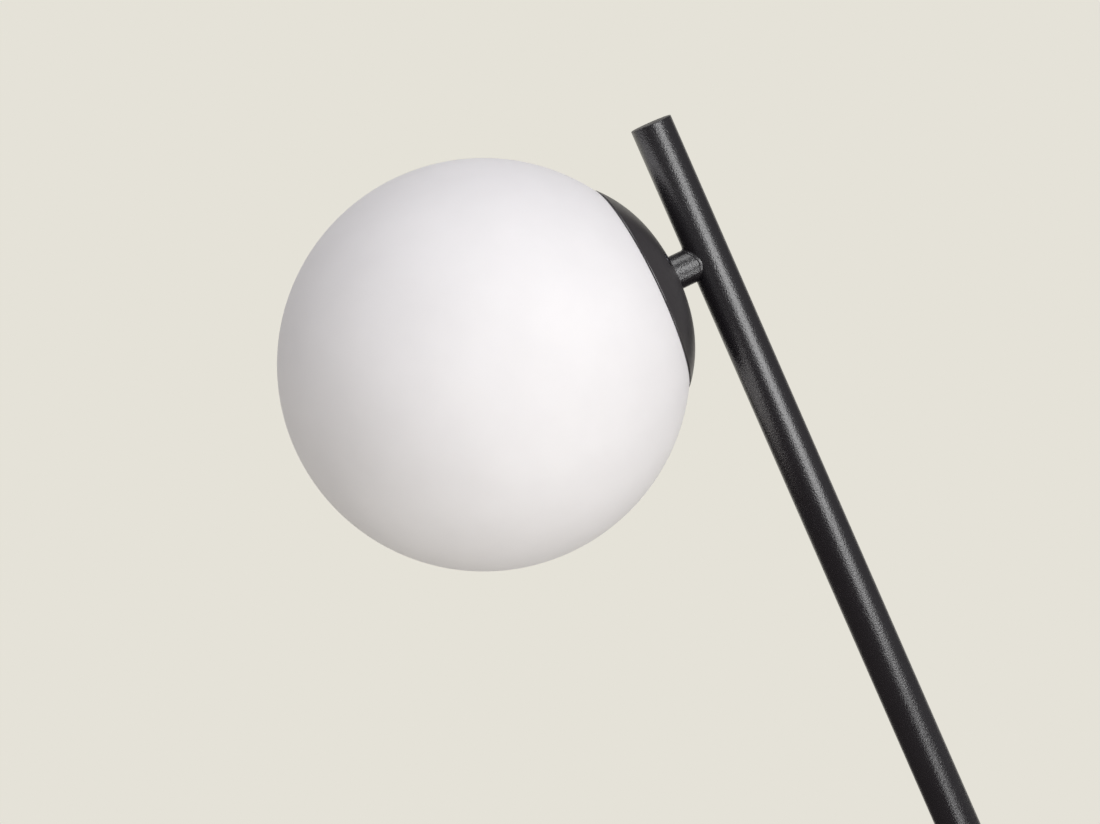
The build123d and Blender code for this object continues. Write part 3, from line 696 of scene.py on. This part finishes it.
def threadedNipple(node, place):
    low, high, radius, bore = measure(node, place)
    edge = nipple["edge"]
    count = int((high - low) / nipple["pitch"] * nipple["rowsPerTurn"])
    outline = [(bore, low), (radius - edge, low)] + rows((radius, low + edge), (radius, high - edge), count)
    outline += [(radius - edge, high), (bore, high), (bore, low)]
    piece = turned(node + "_threaded", outline, nipple["around"])
    cutThread(piece, radius, low + edge, high - edge, nipple)
    finishPiece(piece, node, place)


threadedNipple("foot_nipple", footPlace)
threadedNipple("arm_nipple", headPlace)

# Hexagon nuts, chamfered on both faces and threaded
nut = {
    "edge": 0.5, "chamfer": 30, "faceShare": 0.96, "spare": 0.01, "pitch": 1.0, "threadDepth": 0.5,
    "rows": 24,
}


def hexagonNut(node, place):
    low, high, corner, bore = measure(node, place)
    face = corner * sqrt(3) / 2 * nut["faceShare"]
    drop = (corner - face) * sin(radians(nut["chamfer"]))
    edge, outer = nut["edge"], corner + nut["spare"]
    outline = [(bore + edge, low), (face, low), (outer, low + drop), (outer, high - drop), (face, high)]
    wall = rows((bore, high - edge), (bore, low + edge), nut["rows"])
    outline += [(bore + edge, high)] + wall + outline[:1]
    piece = turned(node + "_chamfered", outline)
    cutThread(piece, bore, low + edge, high - edge, nut, inward=False)
    cutWith(piece, drill(corner, low - past, high + past, sides=6), "INTERSECT")
    finishPiece(piece, node, place, smooth=25)


hexagonNut("foot_nut", footPlace)
hexagonNut("arm_nut", headPlace)

# Washers: a plain one with a rolled edge at the foot, a waved spring one in the head
washer = {"edge": 0.35, "waves": 5, "sheet": 0.55, "springEdge": 0.12, "rows": 6, "around": 120}


def plainWasher():
    piece = turned("foot_washer_rolled", ringOutline(*measure("foot_washer", footPlace)))
    roundEdges(piece, washer["edge"])
    finishPiece(piece, "foot_washer", footPlace)


def springWasher():
    low, high, radius, bore = measure("lock_washer", headPlace)
    middle, half = (low + high) / 2, washer["sheet"] / 2
    outline = rows((bore, middle - half), (radius, middle - half), washer["rows"])
    outline += rows((radius, middle + half), (bore, middle + half), washer["rows"])
    piece = turned("lock_washer_waved", outline + outline[:1], washer["around"])
    swing = (high - low) / 2 - half
    for vertex in piece.data.vertices:
        vertex.co.z += swing * cos(washer["waves"] * atan2(vertex.co.y, vertex.co.x)) * mm
    roundEdges(piece, washer["springEdge"], 2)
    finishPiece(piece, "lock_washer", headPlace)


plainWasher()
springWasher()

# Holder ring: dished plate with screw holes, and the skirt that takes the globe's thread
holderRing = {
    "plate": 100.95, "wall": 1.2, "skirtWall": 2.8, "edge": 0.3, "pitch": globe["pitch"], "threadDepth": 0.9,
    "screwHole": 1.55, "drilled": (97, 104), "rows": 26, "around": 144,
}


def globeHolder():
    low, high, radius, bore = measure("globe_ring", headPlace)
    skirt = radius - holderRing["skirtWall"]
    plate, inside = holderRing["plate"], holderRing["plate"] - holderRing["wall"]
    skirtTop = sqrt(inside ** 2 - skirt ** 2)
    outline = arc(plate, degrees(asin(bore / plate)), degrees(asin(radius / plate)), 16)
    outline += [(radius, low)] + rows((skirt, low), (skirt, skirtTop), holderRing["rows"])
    outline += arc(inside, degrees(asin(skirt / inside)), degrees(asin(bore / inside)), 16)
    piece = turned("globe_holder", outline + outline[:1], holderRing["around"])
    cutThread(piece, skirt, low, skirtTop, holderRing, inward=False)
    roundEdges(piece, holderRing["edge"], 2, 50)
    for place in screwPlaces:
        cutWith(piece, drill(holderRing["screwHole"], *holderRing["drilled"], place))
    finishPiece(piece, "globe_ring", headPlace, smooth=40)


globeHolder()

# Silicone ring on the globe's shoulder, soft at its edges
seal = {"edge": 0.5, "around": 144}


def sealRing():
    piece = turned("seal_ring", ringOutline(*measure("globe_seal", headPlace)), seal["around"])
    roundEdges(piece, seal["edge"], 4)
    finishPiece(piece, "globe_seal", headPlace)


sealRing()

# Lampholder: ribbed cap over the nipple, skirt with a shade thread, ceramic core, brass shell and tongue
holder = {
    "wall": 1.6, "collar": 8.5, "collarLength": 9, "dome": 8, "ribs": 36, "ribDepth": 0.45, "ribStop": 1,
    "edge": 0.5, "mouth": 15, "ledgeWidth": 2, "ledgeHeight": 2.4, "plainBelow": 2, "plainAbove": 4,
    "skirtScrew": {"pitch": 4, "threadDepth": 0.7}, "coreEdge": 0.4, "coreRecess": 3.7,
    "pocket": 3, "pocketDepth": 5.5, "pocketOffset": 9, "shellScrew": {"pitch": 3.629, "threadDepth": 0.6},
    "shellRows": 10, "shellPlain": 1, "tongueThickness": 0.5, "tongueEdge": 0.12, "capRows": 24,
    "skirtRows": 56, "skirtAround": 128,
}
pocketPlaces = [Matrix.Translation((side * holder["pocketOffset"] * mm, 0, 0)) for side in (1, -1)]


def holderCap():
    low, high, radius, bore = measure("lampholder_cap", headPlace)
    wall, collar = holder["wall"], holder["collar"]
    collarEnd = high - holder["collarLength"]
    shoulder = collarEnd - holder["dome"]
    outline = [(bore, high), (collar, high), (collar, collarEnd), (radius - wall, shoulder + wall)]
    outline += rows((radius, shoulder), (radius, low), holder["capRows"])
    outline += [(radius - wall, low), (radius - wall, shoulder - wall), (collar - wall, collarEnd - wall)]
    outline += [(bore, collarEnd - wall), (bore, high)]
    piece = turned("lampholder_top", outline, 6 * holder["ribs"])
    stop = holder["ribStop"]
    cutRibs(piece, radius, low + stop, shoulder - stop, holder["ribs"], holder["ribDepth"])
    roundEdges(piece, holder["edge"], 3, 28)
    finishPiece(piece, "lampholder_cap", headPlace)


def holderSkirt():
    low, high, radius = measure("lampholder_skirt", headPlace)[:3]
    inside, mouth, lip = radius - holder["wall"], holder["mouth"], low + holder["wall"]
    ledge = measure("lampholder_core", headPlace)[0] - arm["gap"]
    ledgeIn, under = inside - holder["ledgeWidth"], ledge - holder["ledgeHeight"]
    outline = rows((radius, high), (radius, low), holder["skirtRows"])
    outline += [(mouth, low), (mouth, lip), (inside, lip)]
    outline += [(inside, under), (ledgeIn, under), (ledgeIn, ledge), (inside, ledge)]
    outline += [(inside, high), (radius, high)]
    piece = turned("lampholder_sleeve", outline, holder["skirtAround"])
    cutThread(piece, radius, low + holder["plainBelow"], high - holder["plainAbove"], holder["skirtScrew"])
    roundEdges(piece, holder["edge"], 3, 50)
    finishPiece(piece, "lampholder_skirt", headPlace)


def holderCore():
    low, high, radius = measure("lampholder_core", headPlace)[:3]
    seat = measure("lampholder_shell", headPlace)[2] + arm["gap"]
    recess = low + holder["coreRecess"]
    outline = [(0, recess), (seat, recess), (seat, low), (radius, low), (radius, high), (0, high)]
    piece = turned("lampholder_ceramic", outline)
    roundEdges(piece, holder["coreEdge"], 3, 50)
    for place in pocketPlaces:
        cutWith(piece, drill(holder["pocket"], high - holder["pocketDepth"], high + past, place))
    finishPiece(piece, "lampholder_core", headPlace)


# The shell is rolled sheet, so its thread shows on both sides; the top stays plain in the core
def holderShell():
    low, high, radius, bore = measure("lampholder_shell", headPlace)
    count = int((high - low) / holder["shellScrew"]["pitch"] * holder["shellRows"])
    outline = rows((radius, low), (radius, high), count) + rows((bore, high), (bore, low), count)
    piece = turned("lampholder_rolled_shell", outline + outline[:1])
    plainFrom = high - holder["coreRecess"] - holder["shellPlain"]
    for wall in (radius, bore):
        cutThread(piece, wall, low, plainFrom, holder["shellScrew"], inward=False)
    finishPiece(piece, "lampholder_shell", headPlace, smooth=60)


def holderTongue():
    low, high = measure("lampholder_tongue", headPlace)[:2]
    vertices = frame["nodes"]["lampholder_tongue"].data.vertices
    points = [headPlace.inverted() @ vertex.co / mm for vertex in vertices]
    start, end = min(p.x for p in points), max(p.x for p in points)
    width = 2 * max(p.y for p in points)
    half = holder["tongueThickness"] / 2
    upper, lower = high - half, low + half
    path = rows((start, upper), (-width, upper), 4) + rows((-width, upper), (0, lower), 6)
    piece = bentStrip("lampholder_spring", path + rows((0, lower), (end, lower), 4), width, 2 * half)
    roundEdges(piece, holder["tongueEdge"], 2, 50)
    finishPiece(piece, "lampholder_tongue", headPlace)


# Slotted terminal screws in the core's pockets
terminal = {"edge": 0.6, "slot": 1.0, "slotDepth": 1.0, "around": 48}


def terminalScrews():
    low, high, radius = measure("terminal_screws", headPlace)[:3]
    head, edge = radius - holder["pocketOffset"], terminal["edge"]
    piece = turned("terminal_screw_pair", roundBlock(head, low, high, edge, 5), terminal["around"])
    cutWith(piece, block((3 * head, terminal["slot"], 2 * terminal["slotDepth"]), (0, 0, high)))
    spreadOver(piece, pocketPlaces)
    finishPiece(piece, "terminal_screws", headPlace)


holderCap()
holderSkirt()
holderCore()
holderShell()
holderTongue()
terminalScrews()
print("lampholder made")

# Bulb: contact, black glass, rolled screw cap, flared body and frosted dome
bulb = {
    "pitch": 3.629, "threadDepth": 0.8, "capPlain": 1, "edge": 0.5, "dome": 22.5, "domeWall": 1.5,
    "joint": 21, "neck": 14, "collar": 5.5, "contactRim": 1 / 3, "contactAround": 64, "glassSag": 0.25,
    "glassRows": 8, "capRows": 44,
}


def bulbContact():
    low, high, radius = measure("bulb_contact", headPlace)[:3]
    rim = low + (high - low) * bulb["contactRim"]
    dome = [(radius * x, rim + (high - rim) * z) for x, z in arc(1, 90, 0, 10)]
    piece = turned("bulb_contact_button", [(0, low), (radius, low)] + dome, bulb["contactAround"])
    finishPiece(piece, "bulb_contact", headPlace, smooth=40)


def bulbInsulator():
    low, high, radius = measure("bulb_insulator", headPlace)[:3]
    top = measure("bulb_contact", headPlace)[2]
    outline = [(0, low)]
    for i in range(bulb["glassRows"] + 1):
        t = i / bulb["glassRows"]
        rise = t + bulb["glassSag"] * t * (t - 1)
        outline += [(radius + (top - radius) * t, low + (high - low) * rise)]
    piece = turned("bulb_black_glass", outline + [(0, high)])
    finishPiece(piece, "bulb_insulator", headPlace)


def bulbCap():
    low, high, radius = measure("bulb_cap", headPlace)[:3]
    top = measure("bulb_insulator", headPlace)[2]
    shoulder = high - (radius - top)
    wall = rows((radius, low), (radius, shoulder), bulb["capRows"])
    piece = turned("bulb_screw_cap", [(0, low)] + wall + [(top, high), (0, high)])
    cutThread(piece, radius, low + bulb["capPlain"], shoulder, bulb)
    finishPiece(piece, "bulb_cap", headPlace, smooth=50)


def bulbBody():
    low, high = measure("bulb_body", headPlace)[:2]
    neck, flareTop = bulb["neck"], high - bulb["collar"]
    wide, tall = bulb["joint"] - neck, flareTop - low
    flare = (wide ** 2 + tall ** 2) / (2 * wide)  # leaves the collar straight down
    endAngle = degrees(atan2(wide - flare, -tall))
    outline = [(0, high), (neck, high)] + arc(flare, -90, endAngle, 16, (neck + flare, flareTop)) + [(0, low)]
    piece = turned("bulb_flared_body", outline)
    roundEdges(piece, bulb["edge"], 3, 50)
    finishPiece(piece, "bulb_body", headPlace)


def bulbDome():
    low, high = measure("bulb_dome", headPlace)[:2]
    dome, inside = bulb["dome"], bulb["dome"] - bulb["domeWall"]
    centre = (0, low + dome)
    cut = high - centre[1]
    outline = arc(dome, degrees(acos(cut / dome)), 180, 40, centre)
    outline += arc(inside, 180, degrees(acos(cut / inside)), 40, centre)
    piece = turned("bulb_frosted_dome", outline + outline[:1])
    finishPiece(piece, "bulb_dome", headPlace, smooth=40)


bulbContact()
bulbInsulator()
bulbCap()
bulbBody()
bulbDome()
print("bulb made")

# Base: felt pad, iron weight, pressed cover with a rounded edge, and the rubber gland in its wall
base = {
    "wall": 1.5, "edge": 5, "rim": 0.4, "around": 256, "footHole": 5.3, "pinHole": 2.05, "glandHole": 5.05,
    "drillReach": 5, "padEdge": 1.0,
}


def pressedCover():
    low, high, radius = measure("base_cover", basePlace)[:3]
    wall, edge, rim = base["wall"], base["edge"], base["rim"]
    corner = (radius - edge, high - edge)
    outline = [(0, high)] + arc(edge, 0, 90, 12, corner) + [(radius, low + rim), (radius - rim, low)]
    outline += [(radius - wall, low)] + arc(edge - wall, 90, 0, 8, corner) + [(0, high - wall)]
    piece = turned("pressed_cover", outline, base["around"])
    holes = (("footHole", high, footPlace), ("pinHole", high, pinPlace), ("glandHole", 0, glandPlace))
    for hole, level, place in holes:
        cutWith(piece, drill(base[hole], level - base["drillReach"], level + base["drillReach"], place))
    finishPiece(piece, "base_cover", basePlace)


# The weight's CAD shape is already as the real one, so its mesh is copied and merged
def ironWeight():
    piece = bpy.data.objects.new("iron_weight", frame["nodes"]["base_weight"].data.copy())
    piece.data.name = "iron_weight"
    bpy.context.scene.collection.objects.link(piece)
    closeMesh(piece)
    finishPiece(piece, "base_weight", basePlace)


def feltPad():
    low, high, radius = measure("base_pad", basePlace)[:3]
    edge = base["padEdge"]
    outline = [(0, low)] + arc(edge, 180, 90, 5, (radius - edge, low + edge))
    outline += arc(edge, 90, 0, 5, (radius - edge, high - edge)) + [(0, high)]
    piece = turned("felt_pad", outline, base["around"])
    finishPiece(piece, "base_pad", basePlace, smooth=60)


feltPad()
ironWeight()
pressedCover()

# Rubber gland: a neck in the cover's wall between two lips
gland = {"neck": 5, "lip": 3, "edge": 0.45}


def cordGland():
    low, high, radius, bore = measure("cord_gland", glandPlace)
    neck, lip = gland["neck"], gland["lip"]
    outline = [(bore, low), (neck, low), (radius, low + lip), (neck, low + lip), (neck, high - lip)]
    outline += [(radius, high - lip), (radius, high - lip / 2), (neck, high), (bore, high), (bore, low)]
    piece = turned("lead_gland", outline)
    roundEdges(piece, gland["edge"], 3)
    finishPiece(piece, "cord_gland", glandPlace, smooth=50)


cordGland()

# Angled socket at the stem's foot: a round flange and a leaning collar, filleted together. The nipple's hole
# ends at the tube's seat, so the collar is closed all round.
socket = {
    "flange": 29, "thick": 6, "edge": 2, "wall": 3.6, "length": 46, "sink": 10, "collarEdge": 1, "root": 3,
    "rootWithin": 24, "flatWithin": 0.5, "slipFit": 0.1, "tubeSeat": 13, "nippleHole": 5.05, "pinHole": 2.05,
    "pinDepth": 4, "grubHole": 2.55, "flangeAround": 128,
}


def angledSocket():
    low, foot, end = baseTop / mm, stemFoot.x / mm, socket["length"]
    top = low + socket["thick"]
    flange = roundBlock(socket["flange"], low, top, socket["edge"], 6)
    piece = turned("angled_socket", flange, socket["flangeAround"])
    piece.data.transform(footPlace)
    # the flat faces in one piece each, so that the fillet's edge has only the collar's corners
    flat = radians(socket["flatWithin"])
    editWhere(
        piece, "FACE", "polygons", lambda face: True, lambda: bpy.ops.mesh.dissolve_limited(angle_limit=flat),
    )
    bore = measure("lower_tube", stemPlace)[2] + socket["slipFit"]
    collar = bore + socket["wall"]
    sleeve = turned("sleeve", roundBlock(collar, -socket["sink"], end, socket["collarEdge"], 4))
    sleeve.data.transform(stemPlace)
    cutWith(piece, sleeve, "UNION")
    cutWith(piece, block([4 * collar] * 3, (foot, 0, low - 2 * collar)))

    # fillet where the collar meets the flange
    def atRoot(line):
        ends = [piece.data.vertices[i].co / mm for i in line.vertices]
        level = all(abs(p.z - top) < same["wall"] for p in ends)
        return level and all(hypot(p.x - foot, p.y) < socket["rootWithin"] for p in ends)

    editWhere(
        piece, "EDGE", "edges", atRoot,
        lambda: bpy.ops.mesh.bevel(offset=socket["root"] * mm, segments=5, affect="EDGES"),
    )
    seat = low + (socket["tubeSeat"] - stemUp.x * socket["nippleHole"]) / stemUp.z
    cutWith(piece, drill(bore, socket["tubeSeat"], end + past, stemPlace, 96))
    cutWith(piece, drill(socket["nippleHole"], low - past, seat, footPlace))
    cutWith(piece, drill(socket["pinHole"], low - past, low + socket["pinDepth"], pinPlace))
    cutWith(piece, drill(socket["grubHole"], -socket["wall"], socket["wall"], grubPlace))
    finishPiece(piece, "stem_socket", basePlace, smooth=40)


angledSocket()

# Grub screw with a hexagon socket for the key
grub = {
    "point": 0.7, "edge": 0.4, "pitch": 0.8, "threadDepth": 0.35, "key": 2.5, "keyDepth": 1.8, "rows": 24,
    "around": 64,
}


def grubScrew():
    low, high, radius = measure("foot_grub_screw", grubPlace)[:3]
    start, end = low + grub["point"], high - grub["edge"]
    outline = [(0, low), (radius - grub["point"], low)] + rows((radius, start), (radius, end), grub["rows"])
    outline += [(radius - grub["edge"], high), (0, high)]
    piece = turned("grub_screw", outline, grub["around"])
    cutThread(piece, radius, start, end, grub)
    cutWith(piece, drill(grub["key"] / sqrt(3), high - grub["keyDepth"], high + past, sides=6))
    finishPiece(piece, "foot_grub_screw", grubPlace)


grubScrew()

# Dowel that stops the socket from turning, its ends broken
pin = {"edge": 0.5, "around": 48}


def dowelPin():
    low, high, radius = measure("locating_pin", pinPlace)[:3]
    piece = turned("dowel_pin", [(0, low), (radius, low), (radius, high), (0, high)], pin["around"])
    roundEdges(piece, pin["edge"])
    finishPiece(piece, "locating_pin", pinPlace)


dowelPin()
print("base and foot made")

# Studio: pale paper behind and below, and a room that is brighter on the camera's right
studio = {
    "paper": "#e5e2d8", "paperFrom": (0.7, 1.0), "room": "#f5f3f6", "roomDim": 0.51, "roomBright": 0.72,
    "brightFrom": (0.52, -0.83, 0.1), "roomFrom": -0.2, "mirrorLoss": 0.75, "frontFloor": "#5a5554",
    "floorSize": 60, "floorFades": (1.2, 5.0), "floorFrom": (1.5, 5.0),
}
# Soft lamps: a large one to the right of the camera, one overhead, a small one low at the right, and a fill
# from below. The fill only lifts the globe's shade and isn't mirrored in the black coat.
lamps = {
    "key": {
        "right": 32, "up": 15, "distance": 1.9, "width": 1.15, "height": 1.4, "roll": 23.7, "watts": 13.2,
    },
    "overhead": {"right": -20, "up": 70, "distance": 1.5, "width": 0.9, "height": 0.9, "watts": 4},
    "side": {"right": 46, "up": -28, "distance": 1.8, "width": 1.0, "height": 0.4, "watts": 3.4},
    "fill": {
        "right": 4, "up": -32, "distance": 1.5, "width": 1.4, "height": 0.8, "watts": 3.5, "mirrored": False,
    },
}
# The picture's size and the globe's circle in it, in pixels, and where the camera stands
picture = {"width": 1100, "height": 824, "globeX": 483.8, "globeY": 364.8, "globeRadius": 206.72}
cameraView = {"azimuth": -10.45, "elevation": 2.16, "distance": 2.3, "sensor": 36}


def towards(azimuth, elevation):
    a, e = radians(azimuth), radians(elevation)
    return Vector((sin(a) * cos(e), -cos(a) * cos(e), sin(e)))


def photoCamera():
    distance = cameraView["distance"]
    back = towards(cameraView["azimuth"], cameraView["elevation"])
    right = Vector((0, 0, 1)).cross(back).normalized()
    up = back.cross(right)
    radius = globe["radius"] * mm
    focal = picture["globeRadius"] * sqrt(distance ** 2 - radius ** 2) / radius
    sideways = (picture["globeX"] - picture["width"] / 2) / focal * distance
    upwards = (picture["height"] / 2 - picture["globeY"]) / focal * distance
    camera = bpy.data.cameras.new("camera")
    camera.sensor_width = cameraView["sensor"]
    camera.lens = focal / picture["width"] * cameraView["sensor"]
    stand = bpy.data.objects.new("camera", camera)
    bpy.context.scene.collection.objects.link(stand)
    stand.location = globeCentre + back * distance - right * sideways - up * upwards
    stand.rotation_euler = (-back).to_track_quat("-Z", "Y").to_euler()
    bpy.context.scene.camera = stand


# Lamp aimed at the globe; its place is counted from the camera's side
def softLamp(name):
    lamp = lamps[name]
    deselectAll()
    way = towards(cameraView["azimuth"] + lamp["right"], lamp["up"])
    bpy.ops.object.light_add(type="AREA", location=globeCentre + way * lamp["distance"])
    light = bpy.context.object
    light.name = name
    turn = (-way).to_track_quat("-Z", "Y") @ Quaternion((0, 0, 1), radians(lamp.get("roll", 0)))
    light.rotation_euler = turn.to_euler()
    light.data.shape = "RECTANGLE"
    light.data.size = lamp["width"]
    light.data.size_y = lamp["height"]
    light.data.energy = lamp["watts"]
    light.visible_camera = False
    light.visible_glossy = lamp.get("mirrored", True)


# Share of a ray that sees the paper's even colour, and share that mirrors what is in front of the paper: the
# camera and rays through glass always see paper, reflections only where it hangs
def rayShares(tree, place, limits):
    path = addNode(tree, "ShaderNodeLightPath").outputs
    away = -towards(cameraView["azimuth"], 0)
    depth = addNode(tree, "ShaderNodeVectorMath", {1: away}, {0: place}, operation="DOT_PRODUCT")
    behind = addNode(
        tree, "ShaderNodeMapRange", {"From Min": limits[0], "From Max": limits[1]},
        {"Value": depth.outputs["Value"]}, interpolation_type="SMOOTHSTEP",
    )
    glossy = path["Is Glossy Ray"]
    both = {0: glossy, 1: behind.outputs["Result"]}
    mirrored = addNode(tree, "ShaderNodeMath", {}, both, operation="MULTIPLY").outputs[0]
    seen = mirrored
    for kind in ("Is Camera Ray", "Is Transmission Ray"):
        seen = addNode(tree, "ShaderNodeMath", {}, {0: seen, 1: path[kind]}, operation="MAXIMUM").outputs[0]
    front = addNode(tree, "ShaderNodeMath", {}, {0: glossy, 1: mirrored}, operation="SUBTRACT")
    return seen, front.outputs[0]


# The room is brighter on one side and dimmer in reflections
def roomLight():
    world = bpy.data.worlds.new("studio_room")
    bpy.context.scene.world = world
    tree = emptyTree(world)
    way = addNode(tree, "ShaderNodeTexCoord").outputs["Generated"]
    bright = Vector(studio["brightFrom"]).normalized()
    side = addNode(tree, "ShaderNodeVectorMath", {1: bright}, {0: way}, operation="DOT_PRODUCT")
    levels = {"To Min": studio["roomDim"], "To Max": studio["roomBright"]}
    shade = addNode(
        tree, "ShaderNodeMapRange", {"From Min": studio["roomFrom"], "From Max": 1.0, **levels},
        {"Value": side.outputs["Value"]}, interpolation_type="SMOOTHSTEP",
    )
    seen, front = rayShares(tree, way, studio["paperFrom"])
    loss = {1: -studio["mirrorLoss"], 2: 1.0}
    kept = addNode(tree, "ShaderNodeMath", loss, {0: front}, operation="MULTIPLY_ADD")
    both = {0: shade.outputs["Result"], 1: kept.outputs[0]}
    strength = addNode(tree, "ShaderNodeMath", {}, both, operation="MULTIPLY").outputs[0]
    room = addNode(tree, "ShaderNodeBackground", {"Color": linear(studio["room"])}, {"Strength": strength})
    paper = addNode(tree, "ShaderNodeBackground", {"Color": linear(studio["paper"]), "Strength": 1.0})
    mixed = addNode(tree, "ShaderNodeMixShader", {}, {0: seen, 1: room.outputs[0], 2: paper.outputs[0]})
    addNode(tree, "ShaderNodeOutputWorld", {}, {"Surface": mixed.outputs[0]})


# The floor keeps the lamp's shadow near it and fades to the paper's even colour further off; reflections meet
# a darker floor in front of the paper
def paperFloor():
    deselectAll()
    bpy.ops.mesh.primitive_plane_add(size=studio["floorSize"], location=(0, 0, 0))
    floor = bpy.context.object
    floor.name = "floor"
    material = bpy.data.materials.new("paper_sweep")
    tree = emptyTree(material)
    place = addNode(tree, "ShaderNodeTexCoord").outputs["Object"]
    far = addNode(tree, "ShaderNodeVectorMath", {}, {0: place}, operation="LENGTH")
    start, end = studio["floorFades"]
    fade = addNode(
        tree, "ShaderNodeMapRange", {"From Min": start, "From Max": end},
        {"Value": far.outputs["Value"]}, interpolation_type="SMOOTHSTEP",
    )
    seen, front = rayShares(tree, place, studio["floorFrom"])
    share = addNode(tree, "ShaderNodeMath", {}, {0: fade.outputs["Result"], 1: seen}, operation="MULTIPLY")
    paper = addNode(tree, "ShaderNodeBsdfDiffuse", {"Color": linear(studio["paper"])})
    dark = addNode(tree, "ShaderNodeBsdfDiffuse", {"Color": linear(studio["frontFloor"])})
    ground = addNode(tree, "ShaderNodeMixShader", {}, {0: front, 1: paper.outputs[0], 2: dark.outputs[0]})
    even = addNode(tree, "ShaderNodeEmission", {"Color": linear(studio["paper"]), "Strength": 1.0})
    layers = {0: share.outputs[0], 1: ground.outputs[0], 2: even.outputs[0]}
    mixed = addNode(tree, "ShaderNodeMixShader", {}, layers)
    addNode(tree, "ShaderNodeOutputMaterial", {}, {"Surface": mixed.outputs[0]})
    floor.data.materials.append(material)


photoCamera()
for lampName in lamps:
    softLamp(lampName)
roomLight()
paperFloor()
bpy.context.scene.view_settings.view_transform = "Standard"
print("studio set")
